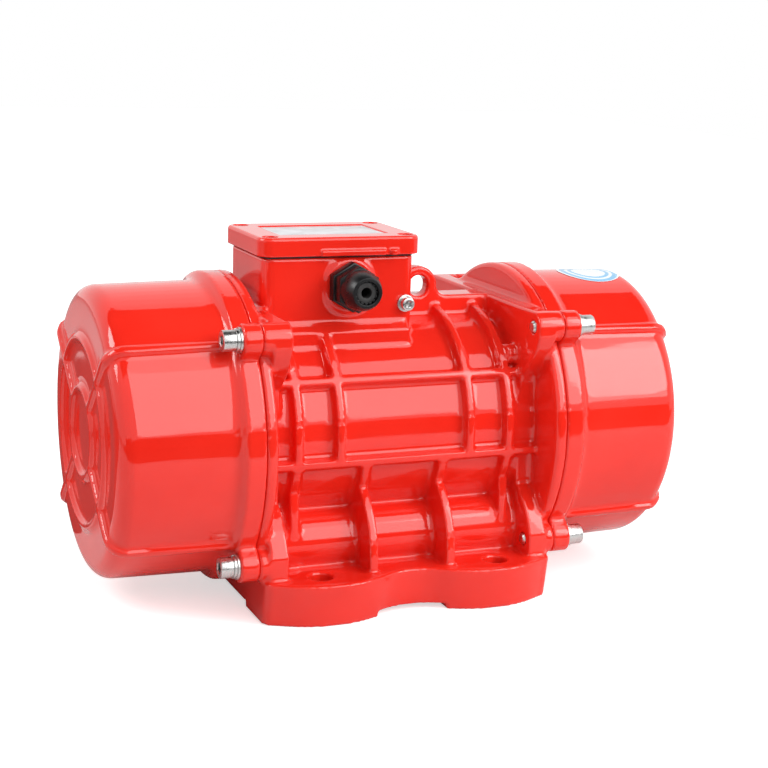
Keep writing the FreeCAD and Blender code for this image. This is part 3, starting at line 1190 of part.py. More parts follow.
keyway = box("keyway", ("weight_x - overrun", "weight_x + weight_t + overrun"),
             ("-key_t / 2 - fit_gap", "key_t / 2 + fit_gap"),
             ("axis_z - key_low - fit_gap", "axis_z - key_high"))
both_ends("fixed_weight", weight("fixed_weight", "weight_x", keyway))
pair("fixed_clamp_screws", clamp_screw("fixed_clamp_screw", "weight_x"))
both_ends("weight_spacer", turned("weight_spacer", [
    ("weight_x + weight_t", "weight_shaft_r + fit_gap"), ("weight_x + weight_t",
        "weight_hub_r - spacer_in"),
    ("weight_x + weight_t + spacer_t", "weight_hub_r - spacer_in"),
    ("weight_x + weight_t + spacer_t", "weight_shaft_r + fit_gap")]))
both_ends("adjustable_weight", weight("adjustable_weight", "free_x"))
both_ends("adjustable_clamp_screw", clamp_screw("adjustable_clamp_screw", "free_x"))
both_ends("setting_disc", turned("setting_disc", [
    ("scale_x", "weight_shaft_r + fit_gap"), ("scale_x", "scale_r"), ("circlip_x", "scale_r"),
    ("circlip_x", "weight_shaft_r + fit_gap")]))
circlip_ring = turned("circlip_ring", [
    ("circlip_x", "weight_shaft_r - circlip_depth"), ("circlip_x", "weight_shaft_r + circlip_over"),
    ("circlip_x + circlip_t", "weight_shaft_r + circlip_over"),
    ("circlip_x + circlip_t", "weight_shaft_r - circlip_depth")])
both_ends("circlip", cut("circlip", circlip_ring, box(
    "circlip_mouth", ("circlip_x - overrun", "circlip_x + circlip_t + overrun"), ("-circlip_mouth",
        "circlip_mouth"),
    ("axis_z", "axis_z + weight_hub_r"))))

# ---------------------------------------------------------------- checks and files

doc.recompute()
for item in doc.Objects:
    if "Invalid" in item.State or "Error" in item.State:
        raise RuntimeError(f"{item.Name} failed: {item.State}")
os.makedirs("parts", exist_ok=True)
for piece in nodes:
    shape = piece.Shape
    if shape.isNull() or not shape.isValid() or not shape.Solids:
        raise RuntimeError(f"{piece.Label} has no valid solid")
    shape.exportStep(f"parts/{piece.Label}.step")
    print(f"{piece.Label}: {len(shape.Solids)} solids, {shape.Volume / 1000:.1f} cm3, "
          f"{len(shape.Faces)} faces")
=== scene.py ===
"""External vibration motor: its castings get the rounded roots and edges of a painted
casting, and its screws, washers, cable gland and plates get their finished shapes."""

import json
import math

import bmesh
import bpy
import numpy as np
from bpy.props import FloatProperty, FloatVectorProperty, IntProperty, PointerProperty
from bpy.types import Operator, Panel, PropertyGroup
from mathutils import Matrix, Vector
from mathutils.bvhtree import BVHTree
from mathutils.kdtree import KDTree

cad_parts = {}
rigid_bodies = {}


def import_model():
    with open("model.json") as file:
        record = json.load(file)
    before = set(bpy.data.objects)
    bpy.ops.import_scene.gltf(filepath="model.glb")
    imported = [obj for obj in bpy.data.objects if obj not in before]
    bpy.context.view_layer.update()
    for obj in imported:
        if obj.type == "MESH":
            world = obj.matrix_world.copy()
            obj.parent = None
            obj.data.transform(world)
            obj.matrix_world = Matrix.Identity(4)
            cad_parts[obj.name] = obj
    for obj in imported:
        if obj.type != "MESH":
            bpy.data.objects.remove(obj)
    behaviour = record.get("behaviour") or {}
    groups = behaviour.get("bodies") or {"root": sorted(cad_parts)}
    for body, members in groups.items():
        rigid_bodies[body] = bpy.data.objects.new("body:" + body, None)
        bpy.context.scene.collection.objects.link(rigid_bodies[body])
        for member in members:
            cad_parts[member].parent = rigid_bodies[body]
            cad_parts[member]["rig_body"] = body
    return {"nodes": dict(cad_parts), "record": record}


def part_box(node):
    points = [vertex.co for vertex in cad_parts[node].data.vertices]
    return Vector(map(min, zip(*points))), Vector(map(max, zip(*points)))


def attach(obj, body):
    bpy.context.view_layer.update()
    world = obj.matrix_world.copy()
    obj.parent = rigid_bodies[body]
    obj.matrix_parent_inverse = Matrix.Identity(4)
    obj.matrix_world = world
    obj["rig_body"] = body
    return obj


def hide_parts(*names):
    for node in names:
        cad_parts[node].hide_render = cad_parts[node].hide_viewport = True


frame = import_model()

bl_info = {
    "name": "Vibration motor",
    "version": (1, 0, 0),
    "blender": (4, 5, 0),
    "location": "View3D > Sidebar > Motor",
    "description": "Dresses a foot-mounted vibration motor in cast, painted and plated finishes",
    "category": "Object",
}


# ---------------------------------------------------------------- fixed sizes, in metres
WELD = 1e-6  # corners closer than this are joined

# Castings: radii of the machined seats that the rounding leaves alone, and how it is laid on.
HOUSING_SCREW_SEAT = 0.0088
COVER_SCREW_SEAT = 0.0095
FOOT_BOLT_SEAT = 0.0082
GLAND_SEAT = 0.0105
EARTH_SCREW_SEAT = 0.0065
LID_SCREW_BORE = 0.0045
LID_SCREW_SEAT = 0.0060
SEAT_FADE = 0.002  # width of the band round a seat where the rounding comes in
PULL = 0.6  # share of the way to its neighbours that a vertex moves in one pass
LID_PASSES = 5
COVER_TRIANGLES = 195000
LID_TRIANGLES = 120000

# Angles, in degrees: a face turns by less than FLAT_TURN over a flat, and by more than the
# others where an edge is bevelled or stays sharp in the shading.
FLAT_TURN = 0.5
BEVEL_TURN = 35
EASED_TURN = 32
SCREW_TURN = 28
SMALL_TURN = 40

# Screws: radius, head radius and head height of the covers' screws, and for the small screws
# the shank and the head's height as shares of the head's radius.
COVER_SCREW = (0.004, 0.0065, 0.008)
LID_SHANK, LID_HEAD = 0.59, 1.1
EARTH_SHANK, EARTH_HEAD = 0.6, 1.2
SOCKET_SHARE = 0.50  # radius of the socket over that of the head
SOCKET_FLOOR = 0.45  # height of the socket's floor over that of the head
DRILL_SHARE = 0.55  # radius of the drill's cone under the socket over the socket's
DRILL_DEPTH = 0.12  # depth of that cone over the head's radius

# Plates and cable gland: bevels, and the fingers' sizes as shares of their ring's outer radius.
PLATE_EDGE = 0.00015
SEAL_EDGE = 0.0001
GLAND_EDGES = 1.6  # bevel of the body and nut over the small edge
FINGER_EDGES = 0.8  # bevel of a finger over the small edge
FINGERS_WIDTH = 4.4  # widths of all the fingers together
FINGER_THICKNESS = 0.14
FINGER_PLACE = 0.93

# Disc on the right cover.
DISC_CELLS = 24
DISC_THICKNESS = 0.00012
DISC_LIFT = 0.00032
DISC_LEAN = 4  # degrees
DISC_PLACE = 0.66  # share of the cover's length
DISC_RING = (0.16, 0.45, 0.72)
RAY_START = 0.2  # distance from the shaft at which the rays down to the cover start

# Studio: name, size, place and aim of each sheet; size and place of each light; and the camera.
HEART = (0, 0, 0.11)
FLOOR = ("floor", (6.0, 6.0), (0, 2.45, -0.0003), (0, 2.45, 1))
DARK_FLAGS = (
    ("front_flag", (5.0, 0.42), (0, -1.75, 0.10), (0, 0, 0.10)),
    ("ground_flag", (5.0, 1.3), (0, -1.25, -0.0002), (0, -1.25, 1)),
    ("roof_flag", (3.2, 2.4), (0, -0.1, 2.1), HEART),
)
GREY_FLAG = ("rear_ground_flag", (1.6, 0.62), (-0.75, 0.44, -0.0002), (-0.75, 0.44, 1))
GREY_TONE = 0.07
SOFTBOXES = {
    "front": ((1.25, 1.5), (0.48, -1.02, 0.98)),
    "left": ((0.7, 0.7), (-1.25, 0.15, 1.05)),
    "right": ((0.55, 0.8), (0.90, -0.90, 0.83)),
}
CAMERA_PLACE = (-0.4085, -1.0103, 0.3653)
CAMERA_TURNS = (22.69, 12.25, 1.83)  # yaw, pitch and roll in degrees
CAMERA_LENS, CAMERA_SENSOR = 78.4, 36  # in millimetres


# ---------------------------------------------------------------- settings
class MotorCastings(PropertyGroup):
    """How fine the castings are, and how round their roots and edges."""
    housing_grain: FloatProperty(
        name="Housing grain", description="Mesh size of the housing's skin",
        default=0.0012, min=0.0008, unit="LENGTH")
    cover_grain: FloatProperty(
        name="Cover grain", description="Mesh size of the covers' skins",
        default=0.0013, min=0.0008, unit="LENGTH")
    lid_grain: FloatProperty(
        name="Lid grain", description="Mesh size of the terminal lid's skin",
        default=0.0006, min=0.0005, unit="LENGTH")
    root_passes: IntProperty(
        name="Root passes", description="Smoothing passes that round the roots of ribs and bosses",
        default=12, min=0, max=80)
    edge_share: FloatProperty(
        name="Edge share", description="How much of that rounding reaches the outer edges",
        default=0.06, min=0, max=1, subtype="FACTOR")
    housing_limit: IntProperty(
        name="Housing triangles", description="Most triangles in the housing's skin",
        default=190000, min=20000)


class MotorFasteners(PropertyGroup):
    """Sizes of the finished fasteners and small pieces."""
    screw_steps: IntProperty(
        name="Screw steps", description="Steps round a screw head", default=48, min=24, max=96)
    head_edge: FloatProperty(
        name="Head edge", description="Bevel round a screw head", default=0.0006, unit="LENGTH")
    small_edge: FloatProperty(
        name="Small edge", description="Bevel on washers, plates and the cable gland",
        default=0.00025, unit="LENGTH")
    fingers: IntProperty(
        name="Fingers", description="Fingers round the mouth of the cable gland", default=16,
        min=6, max=32)
    disc_radius: FloatProperty(
        name="Disc radius", description="Radius of the plain disc on the right cover",
        default=0.022, unit="LENGTH")


class MotorColours(PropertyGroup):
    """Colours of the finishes."""
    enamel: FloatVectorProperty(
        name="Enamel", description="Red enamel of the castings", subtype="COLOR",
        default=(0.83, 0.026, 0.014), min=0, max=1)
    enamel_deep: FloatVectorProperty(
        name="Deep enamel", description="Red enamel where it is laid thicker", subtype="COLOR",
        default=(0.74, 0.018, 0.009), min=0, max=1)
    zinc: FloatVectorProperty(
        name="Zinc", description="Plated screws and washers", subtype="COLOR",
        default=(0.66, 0.66, 0.65), min=0, max=1)
    nylon: FloatVectorProperty(
        name="Nylon", description="Black plastic of the cable gland", subtype="COLOR",
        default=(0.006, 0.006, 0.0065), min=0, max=1)
    plate: FloatVectorProperty(
        name="Plate", description="Bare plate on the lid", subtype="COLOR",
        default=(0.86, 0.87, 0.89), min=0, max=1)
    disc: FloatVectorProperty(
        name="Disc", description="Plain disc on the right cover", subtype="COLOR",
        default=(0.80, 0.86, 0.90), min=0, max=1)


class MotorStudio(PropertyGroup):
    """Light levels."""
    front: FloatProperty(
        name="Front light", description="Power of the tall softbox in front, right of the camera",
        default=17.6, min=0, unit="POWER")
    left: FloatProperty(
        name="Left light", description="Power of the softbox on the left", default=11.5,
        min=0, unit="POWER")
    right: FloatProperty(
        name="Right light", description="Power of the softbox on the right", default=5.0,
        min=0, unit="POWER")
    air: FloatProperty(
        name="Room light", description="Strength of the even light of the room", default=0.38,
        min=0, subtype="FACTOR")
    flags: FloatProperty(
        name="Flag tone", description="Tone of the dark cards that the gloss reflects",
        default=0.02, min=0, max=1, subtype="FACTOR")


# ---------------------------------------------------------------- finishes
def finish_of(name):
    """A new material and its node tree and shader."""
    material = bpy.data.materials.new(name)
    material.use_nodes = True
    tree = material.node_tree
    return material, tree, tree.nodes["Principled BSDF"]


def grain(tree, scale, detail=2.0, stretch=(1, 1, 1)):
    """A noise over the piece's own coordinates, stretched along its axes."""
    place = tree.nodes.new("ShaderNodeTexCoord")
    turn = tree.nodes.new("ShaderNodeMapping")
    turn.inputs["Scale"].default_value = stretch
    noise = tree.nodes.new("ShaderNodeTexNoise")
    noise.inputs["Scale"].default_value = scale
    noise.inputs["Detail"].default_value = detail
    tree.links.new(place.outputs["Object"], turn.inputs["Vector"])
    tree.links.new(turn.outputs["Vector"], noise.inputs["Vector"])
    return noise.outputs["Fac"]


def shade(tree, bsdf, socket, factor, *stops):
    """Colours or levels spread over a factor from 0 to 1."""
    ramp = tree.nodes.new("ShaderNodeValToRGB")
    while len(ramp.color_ramp.elements) < len(stops):
        ramp.color_ramp.elements.new(0.5)
    for element, (at, value) in zip(ramp.color_ramp.elements, stops):
        element.position = at
        element.color = (*value, 1) if hasattr(value, "__len__") else (value, value, value, 1)
    tree.links.new(factor, ramp.inputs["Fac"])
    tree.links.new(ramp.outputs["Color"], bsdf.inputs[socket])


def relief(tree, bsdf, *layers):
    """Bumps laid over each other, each of a height, a strength and a depth."""
    before = None
    for height, strength, depth in layers:
        bump = tree.nodes.new("ShaderNodeBump")
        bump.inputs["Strength"].default_value = strength
        bump.inputs["Distance"].default_value = depth
        tree.links.new(height, bump.inputs["Height"])
        if before:
            tree.links.new(before, bump.inputs["Normal"])
        before = bump.outputs["Normal"]
    tree.links.new(before, bsdf.inputs["Normal"])


def red_enamel(colours):
    """Glossy enamel over a smoothed casting: slight waves, fine orange peel, uneven thickness."""
    material, tree, bsdf = finish_of("red_enamel")
    shade(tree, bsdf, "Base Color", grain(tree, 14, 3),
          (0.3, colours.enamel_deep), (0.7, colours.enamel))
    shade(tree, bsdf, "Roughness", grain(tree, 60, 4), (0.35, 0.05), (0.65, 0.10))
    bsdf.inputs["Specular IOR Level"].default_value = 0.42
    bsdf.inputs["Coat Weight"].default_value = 0.25
    bsdf.inputs["Coat Roughness"].default_value = 0.02
    relief(tree, bsdf, (grain(tree, 26, 1), 0.25, 0.0009), (grain(tree, 700, 1), 0.12, 0.00004))
    return material


def plated_steel(colours):
    """Zinc-plated steel with a fine turned grain."""
    material, tree, bsdf = finish_of("zinc_steel")
    tint = Vector(colours.zinc)
    shade(tree, bsdf, "Base Color", grain(tree, 160, 3), (0.3, tint * 0.8), (0.7, tint))
    shade(tree, bsdf, "Roughness", grain(tree, 420, 3), (0.3, 0.22), (0.7, 0.38))
    bsdf.inputs["Metallic"].default_value = 1.0
    relief(tree, bsdf, (grain(tree, 500, 2, (6, 1, 1)), 0.2, 0.00008))
    return material


def black_nylon(colours):
    """Moulded black nylon with a soft sheen."""
    material, tree, bsdf = finish_of("black_nylon")
    tint = Vector(colours.nylon)
    shade(tree, bsdf, "Base Color", grain(tree, 90, 2), (0.3, tint), (0.7, tint * 1.8))
    shade(tree, bsdf, "Roughness", grain(tree, 260, 2), (0.3, 0.26), (0.7, 0.36))
    bsdf.inputs["Specular IOR Level"].default_value = 0.3
    relief(tree, bsdf, (grain(tree, 1400, 2), 0.15, 0.00003))
    return material


def plain_metal(name, tint, rough, speck=300, stretch=(1, 1, 1), metallic=1.0, depth=0.00008):
    """A metal, or a plastic at metallic 0, with a speckled tone, uneven gloss and fine grain."""
    material, tree, bsdf = finish_of(name)
    tint = Vector(tint)
    shade(tree, bsdf, "Base Color", grain(tree, speck / 4, 3), (0.3, tint * 0.78), (0.7, tint))
    shade(tree, bsdf, "Roughness", grain(tree, speck, 3, stretch),
          (0.3, rough * 0.8), (0.7, rough * 1.25))
    bsdf.inputs["Metallic"].default_value = metallic
    relief(tree, bsdf, (grain(tree, speck * 2, 2, stretch), 0.25, depth))
    return material


def dull_rubber():
    """Matt black rubber."""
    material, tree, bsdf = finish_of("black_rubber")
    shade(tree, bsdf, "Base Color", grain(tree, 200, 2),
          (0.3, (0.010, 0.010, 0.010)), (0.7, (0.022, 0.021, 0.021)))
    shade(tree, bsdf, "Roughness", grain(tree, 500, 2), (0.3, 0.55), (0.7, 0.75))
    relief(tree, bsdf, (grain(tree, 1600, 2), 0.3, 0.00005))
    return material


def disc_paper(colours, centre, radius):
    """Glossy pale film with two blue rings, laid out about the disc's middle."""
    material, tree, bsdf = finish_of("disc_film")
    place = tree.nodes.new("ShaderNodeTexCoord")
    shift = tree.nodes.new("ShaderNodeMapping")
    shift.inputs["Location"].default_value = -Vector(centre)
    length = tree.nodes.new("ShaderNodeVectorMath")
    length.operation = "LENGTH"
    tree.links.new(place.outputs["Object"], shift.inputs["Vector"])
    tree.links.new(shift.outputs["Vector"], length.inputs[0])
    span = tree.nodes.new("ShaderNodeMapRange")
    span.inputs["From Max"].default_value = radius
    tree.links.new(length.outputs["Value"], span.inputs["Value"])
    pale, ring = Vector(colours.disc), Vector(DISC_RING)
    shade(tree, bsdf, "Base Color", span.outputs["Result"],
          (0.0, pale), (0.52, pale), (0.55, ring), (0.64, ring), (0.67, pale), (0.74, pale),
          (0.77, ring), (0.90, ring), (0.93, pale))
    shade(tree, bsdf, "Roughness", grain(tree, 300, 2), (0.3, 0.18), (0.7, 0.3))
    bsdf.inputs["Coat Weight"].default_value = 0.4
    relief(tree, bsdf, (grain(tree, 120, 2), 0.1, 0.0001))
    return material


def finishes():
    """Every finish by the record's slot name, made once."""
    if "red_enamel" not in bpy.data.materials or "motor_made" not in bpy.context.scene:
        colours = bpy.context.scene.motor_colours
        made = {
            "red_enamel": red_enamel(colours),
            "zinc_steel": plated_steel(colours),
            "black_nylon": black_nylon(colours),
            "black_rubber": dull_rubber(),
            "bare_plate": plain_metal("bare_plate", colours.plate, 0.36, 260, (1, 24, 1), 0.85),
            "board_plastic": plain_metal("board_plastic", (0.10, 0.055, 0.03), 0.45, 200,
                                         metallic=0.0),
            "brass": plain_metal("brass", (0.75, 0.52, 0.22), 0.28),
            "grey_iron": plain_metal("grey_iron", (0.22, 0.22, 0.22), 0.5, 180, metallic=0.7,
                                     depth=0.0002),
            "bearing_steel": plain_metal("bearing_steel", (0.72, 0.72, 0.72), 0.14, 500),
            "core_steel": plain_metal("core_steel", (0.34, 0.35, 0.38), 0.4, 900, (30, 1, 1)),
            "copper": plain_metal("copper", (0.62, 0.24, 0.10), 0.3, 700, (1, 8, 8)),
            "cast_aluminium": plain_metal("cast_aluminium", (0.60, 0.60, 0.61), 0.42, 160,
                                          depth=0.0002),
            "shaft_steel": plain_metal("shaft_steel", (0.58, 0.58, 0.59), 0.24, 500, (14, 1, 1)),
        }
        bpy.context.scene["motor_made"] = {slot: material.name
                                           for slot, material in made.items()}
    return {slot: bpy.data.materials[name]
            for slot, name in bpy.context.scene["motor_made"].items()}


# ---------------------------------------------------------------- pieces
def linked(name, mesh, node, slot, *more):
    """A finished piece that stands for CAD nodes and rides on their body."""
    piece = bpy.data.objects.new(name, mesh)
    bpy.context.scene.collection.objects.link(piece)
    piece.data.materials.clear()
    piece.data.materials.append(finishes()[slot])
    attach(piece, frame["nodes"][node]["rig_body"])
    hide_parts(node, *more)
    return piece


def merged(node):
    """A bmesh copy of a CAD node with its triangles joined up."""
    bm = bmesh.new()
    bm.from_mesh(frame["nodes"][node].data)
    bmesh.ops.remove_doubles(bm, verts=bm.verts, dist=WELD)
    return bm


def mesh_of(bm, name):
    """A new mesh with a bmesh's shape; the bmesh is freed."""
    mesh = bpy.data.meshes.new(name)
    bm.to_mesh(mesh)
    bm.free()
    return mesh


def smooth_mesh(bm, name, turn):
    """A new mesh with a bmesh's shape, smooth but where faces turn by more than some degrees."""
    mesh = mesh_of(bm, name)
    mesh.shade_smooth()
    mesh.set_sharp_from_angle(angle=math.radians(turn))
    return mesh


def bevel(bm, edges, width):
    """Bevels edges of a bmesh in two steps."""
    return bmesh.ops.bevel(bm, geom=edges, offset=width, offset_type="OFFSET", affect="EDGES",
                           segments=2, profile=0.5, clamp_overlap=True, material=-1)


def solids_of(node):
    """The lowest and highest corner of each loose solid in a CAD node."""
    bm = merged(node)
    left, boxes = set(bm.verts), []
    while left:
        front = [left.pop()]
        group = []
        while front:
            vert = front.pop()
            group.append(vert.co.copy())
            for edge in vert.link_edges:
                other = edge.other_vert(vert)
                if other in left:
                    left.remove(other)
                    front.append(other)
        boxes.append((Vector(map(min, zip(*group))), Vector(map(max, zip(*group)))))
    bm.free()
    return boxes


def middle(box):
    """The middle of a box given by its corners."""
    return (box[0] + box[1]) / 2


def applied(piece):
    """A new mesh with an object's modifiers worked in."""
    return bpy.data.meshes.new_from_object(
        piece.evaluated_get(bpy.context.evaluated_depsgraph_get()))


def voxel_mesh(name, node, size):
    """A CAD node's shape in fine, even cells."""
    rough = bpy.data.objects.new(name, mesh_of(merged(node), name))
    bpy.context.scene.collection.objects.link(rough)
    voxels = rough.modifiers.new("grain", "REMESH")
    voxels.mode = "VOXEL"
    voxels.voxel_size = size
    dense = applied(rough)
    bpy.data.objects.remove(rough)
    return dense


def round_roots(dense, passes, edge_share, seats):
    """Fills the roots of a mesh round, eases its edges a little, and gives its points.

    Seats are (point, axis, radius) of machined holes and screw seats, which stay as they are.
    """
    count = len(dense.vertices)
    points = np.empty(count * 3, np.float32)
    dense.vertices.foreach_get("co", points)
    points = points.reshape(-1, 3).astype(float)
    ends = np.empty(len(dense.edges) * 2, np.int32)
    dense.edges.foreach_get("vertices", ends)
    one, two = ends.reshape(-1, 2).T
    near = np.bincount(np.concatenate((one, two)), minlength=count).clip(1)[:, None]
    free = np.ones(count)
    for point, axis, radius in seats:
        off = points - np.array(point)
        axis = np.array(axis, float)
        off -= (off @ axis)[:, None] * axis
        free *= ((np.linalg.norm(off, axis=1) - radius) / SEAT_FADE).clip(0, 1)
    normals = np.empty(count * 3, np.float32)
    for _ in range(passes):
        sums = [np.bincount(one, points[two, k], count) + np.bincount(two, points[one, k], count)
                for k in range(3)]
        pull = np.stack(sums, axis=1) / near - points
        dense.vertex_normals.foreach_get("vector", normals)
        outward = (pull * normals.reshape(-1, 3)).sum(axis=1)
        share = np.where(outward > 0, PULL, PULL * edge_share) * free
        points += pull * share[:, None]
        dense.vertices.foreach_set("co", points.astype(np.float32).ravel())
        dense.update()
    return points


def thin_out(piece, points, limit):
    """Cuts a skin down to a number of triangles that catch the light as its points did."""
    dense = piece.data
    normals = np.empty(len(points) * 3, np.float32)
    dense.vertex_normals.foreach_get("vector", normals)
    normals = normals.reshape(-1, 3)
    tree = KDTree(len(points))
    for number, point in enumerate(points):
        tree.insert(point, number)
    tree.balance()
    thin = piece.modifiers.new("thin", "DECIMATE")
    thin.ratio = limit / (len(dense.polygons) * 2)
    sparse = applied(piece)
    piece.modifiers.clear()
    piece.data = sparse
    sparse.shade_smooth()
    sparse.normals_split_custom_set_from_vertices(
        [normals[tree.find(vert.co)[1]] for vert in sparse.vertices])


def cast_skin(name, node, size, passes, edge_share, seats, limit):
    """A casting's skin of at most about a number of triangles, round in its roots."""
    dense = voxel_mesh(name + "_rough", node, size)
    points = round_roots(dense, passes, edge_share, seats)
    piece = linked(name, dense, node, "red_enamel")
    dense.shade_smooth()
    if len(dense.polygons) * 2 > limit:
        thin_out(piece, points, limit)
    piece.data.name = name


def eased(name, node, slot, width, *more):
    """A CAD node's shape with its sharp edges bevelled and its round faces smooth."""
    bm = merged(node)
    for extra in more:
        bm.from_mesh(frame["nodes"][extra].data)
    bmesh.ops.remove_doubles(bm, verts=bm.verts, dist=WELD)
    bmesh.ops.dissolve_limit(bm, angle_limit=math.radians(FLAT_TURN), verts=bm.verts,
                             edges=bm.edges)
    bevel(bm, [edge for edge in bm.edges if len(edge.link_faces) == 2
               and edge.calc_face_angle() > math.radians(BEVEL_TURN)], width)
    bmesh.ops.triangulate(bm, faces=[face for face in bm.faces if len(face.verts) > 4])
    linked(name, smooth_mesh(bm, name, EASED_TURN), node, slot, *more)


def ring_on(bm, edges, height, radius, hexagon=False):
    """Draws an edge loop out to the next ring of a turned piece along X."""
    grown = bmesh.ops.extrude_edge_only(bm, edges=edges)["geom"]
    verts = {item for item in grown if isinstance(item, bmesh.types.BMVert)}
    for vert in verts:
        angle = math.atan2(vert.co.z, vert.co.y)
        reach = radius
        if hexagon:
            side = (angle + math.pi / 6) % (math.pi / 3) - math.pi / 6
            reach = radius * math.cos(math.pi / 6) / math.cos(side)
        vert.co = Vector((height, reach * math.cos(angle), reach * math.sin(angle)))
    return [item for item in grown if isinstance(item, bmesh.types.BMEdge)
            and item.verts[0] in verts and item.verts[1] in verts]


def socket_screws(name, node, slot, radius, head_radius, head_height, places):
    """Socket-head screws, each of a place whose X runs out of the head and a length."""
    sizes = bpy.context.scene.motor_fasteners
    whole = bmesh.new()
    for place, length in places:
        bm = bmesh.new()
        socket, edge = head_radius * SOCKET_SHARE, sizes.head_edge
        floor = head_height * SOCKET_FLOOR
        base = bmesh.ops.create_circle(bm, cap_ends=True, segments=sizes.screw_steps,
                                       radius=socket * DRILL_SHARE,
                                       matrix=Matrix.Rotation(math.pi / 2, 4, "Y"))["verts"]
        bmesh.ops.translate(bm, verts=base, vec=(floor - head_radius * DRILL_DEPTH, 0, 0))
        loop = list({line for vert in base for line in vert.link_edges})
        for height, reach, hexagon in [
                (floor, socket, True), (head_height - edge * 0.6, socket, True),
                (head_height, socket * 1.12, False), (head_height, head_radius - edge, False),
                (head_height - edge * 0.3, head_radius - edge * 0.3, False),
                (head_height - edge, head_radius, False), (edge * 0.4, head_radius, False),
                (0, head_radius - edge * 0.4, False), (0, radius * 1.04, False),
                (-length + radius * 0.3, radius, False), (-length, radius * 0.75, False)]:
            loop = ring_on(bm, loop, height, reach, hexagon)
        bmesh.ops.edgeloop_fill(bm, edges=loop)
        bmesh.ops.recalc_face_normals(bm, faces=bm.faces)
        bmesh.ops.transform(bm, matrix=place, verts=bm.verts)
        screw = mesh_of(bm, "screw")
        whole.from_mesh(screw)
        bpy.data.meshes.remove(screw)
    linked(name, smooth_mesh(whole, name, SCREW_TURN), node, slot)


def along(direction, point):
    """A place whose X runs along a direction from a point."""
    turn = Vector(direction).to_track_quat("X", "Z").to_matrix().to_4x4()
    return Matrix.Translation(point) @ turn


def screw_places(node, direction, head_height):
    """Where each screw of a node sits: its place under the head, and the length below it."""
    places = []
    for box in solids_of(node):
        centre = middle(box)
        out = Vector(direction) if direction else Vector((math.copysign(1, centre.x), 0, 0))
        axis = max(range(3), key=lambda k: abs(out[k]))
        top = box[1][axis] if out[axis] > 0 else box[0][axis]
        base = centre.copy()
        base[axis] = top - out[axis] * head_height
        places.append((along(out, base), box[1][axis] - box[0][axis] - head_height))
    return places


# ---------------------------------------------------------------- operators
class MOTOR_OT_housing(Operator):
    """Make the housing's casting: feet, barrel, ribs, flanges and terminal box"""
    bl_idname = "motor.housing"
    bl_label = "Housing casting"

    def execute(self, context):
        sizes = context.scene.motor_castings
        seats = [(middle(box), (1, 0, 0), HOUSING_SCREW_SEAT) for box in solids_of("cover_screws")]
        bolts = next(m for m in frame["record"]["mounts"] if m["name"] == "foot_bolts")["dims"]
        for x in (-0.5, 0.5):
            for y in (-0.5, 0.5):
                spot = (x * bolts["spacing_x_mm"] / 1000, y * bolts["spacing_y_mm"] / 1000, 0)
                seats.append((spot, (0, 0, 1), FOOT_BOLT_SEAT))
        seats.append((middle(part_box("gland_body")), (0, 1, 0), GLAND_SEAT))
        seats.append((middle(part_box("earth_screw")), (0, 1, 0), EARTH_SCREW_SEAT))
        seats += [(middle(box), (0, 0, 1), LID_SCREW_BORE) for box in solids_of("lid_screws")]
        cast_skin("housing_casting", "housing", sizes.housing_grain, sizes.root_passes,
                  sizes.edge_share, seats, sizes.housing_limit)
        return {"FINISHED"}


class MOTOR_OT_covers(Operator):
    """Make the two end covers' castings"""
    bl_idname = "motor.covers"
    bl_label = "Cover castings"

    def execute(self, context):
        sizes = context.scene.motor_castings
        seats = [(middle(box), (1, 0, 0), COVER_SCREW_SEAT) for box in solids_of("cover_screws")]
        for side in ("right", "left"):
            cast_skin(side + "_cover_casting", side + "_cover", sizes.cover_grain,
                      sizes.root_passes, sizes.edge_share, seats, COVER_TRIANGLES)
        return {"FINISHED"}


class MOTOR_OT_lid(Operator):
    """Make the terminal lid's casting, the bare plate on it and the seal under it"""
    bl_idname = "motor.lid"
    bl_label = "Terminal lid"

    def execute(self, context):
        sizes = context.scene.motor_castings
        seats = [(middle(box), (0, 0, 1), LID_SCREW_SEAT) for box in solids_of("lid_screws")]
        cast_skin("lid_casting", "terminal_lid", sizes.lid_grain, LID_PASSES, sizes.edge_share,
                  seats, LID_TRIANGLES)
        eased("lid_plate", "rating_plate", "bare_plate", PLATE_EDGE)
        eased("lid_seal", "lid_gasket", "black_rubber", SEAL_EDGE)
        return {"FINISHED"}


class MOTOR_OT_cover_screws(Operator):
    """Make the eight socket-head screws of the covers, with their flat and spring washers"""
    bl_idname = "motor.cover_screws"
    bl_label = "Cover screws"

    def execute(self, context):
        sizes = context.scene.motor_fasteners
        radius, head_radius, head_height = COVER_SCREW
        socket_screws("cover_socket_screws", "cover_screws", "zinc_steel",
                      radius, head_radius, head_height,
                      screw_places("cover_screws", None, head_height))
        eased("flat_washers", "cover_flat_washers", "zinc_steel", sizes.small_edge)
        eased("spring_washers", "cover_spring_washers", "zinc_steel", sizes.small_edge)
        return {"FINISHED"}


class MOTOR_OT_small_screws(Operator):
    """Make the lid's four screws and the earth screw with its washer"""
    bl_idname = "motor.small_screws"
    bl_label = "Lid and earth screws"

    def execute(self, context):
        sizes = context.scene.motor_fasteners
        lid = solids_of("lid_screws")[0]
        reach = (lid[1].x - lid[0].x) / 2
        socket_screws("lid_socket_screws", "lid_screws", "zinc_steel",
                      reach * LID_SHANK, reach, reach * LID_HEAD,
                      screw_places("lid_screws", (0, 0, 1), reach * LID_HEAD))
        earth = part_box("earth_screw")
        reach = (earth[1].x - earth[0].x) / 2
        socket_screws("earth_socket_screw", "earth_screw", "zinc_steel",
                      reach * EARTH_SHANK, reach, reach * EARTH_HEAD,
                      screw_places("earth_screw", (0, -1, 0), reach * EARTH_HEAD))
        eased("earth_flat_washer", "earth_washer", "zinc_steel", sizes.small_edge)
        return {"FINISHED"}


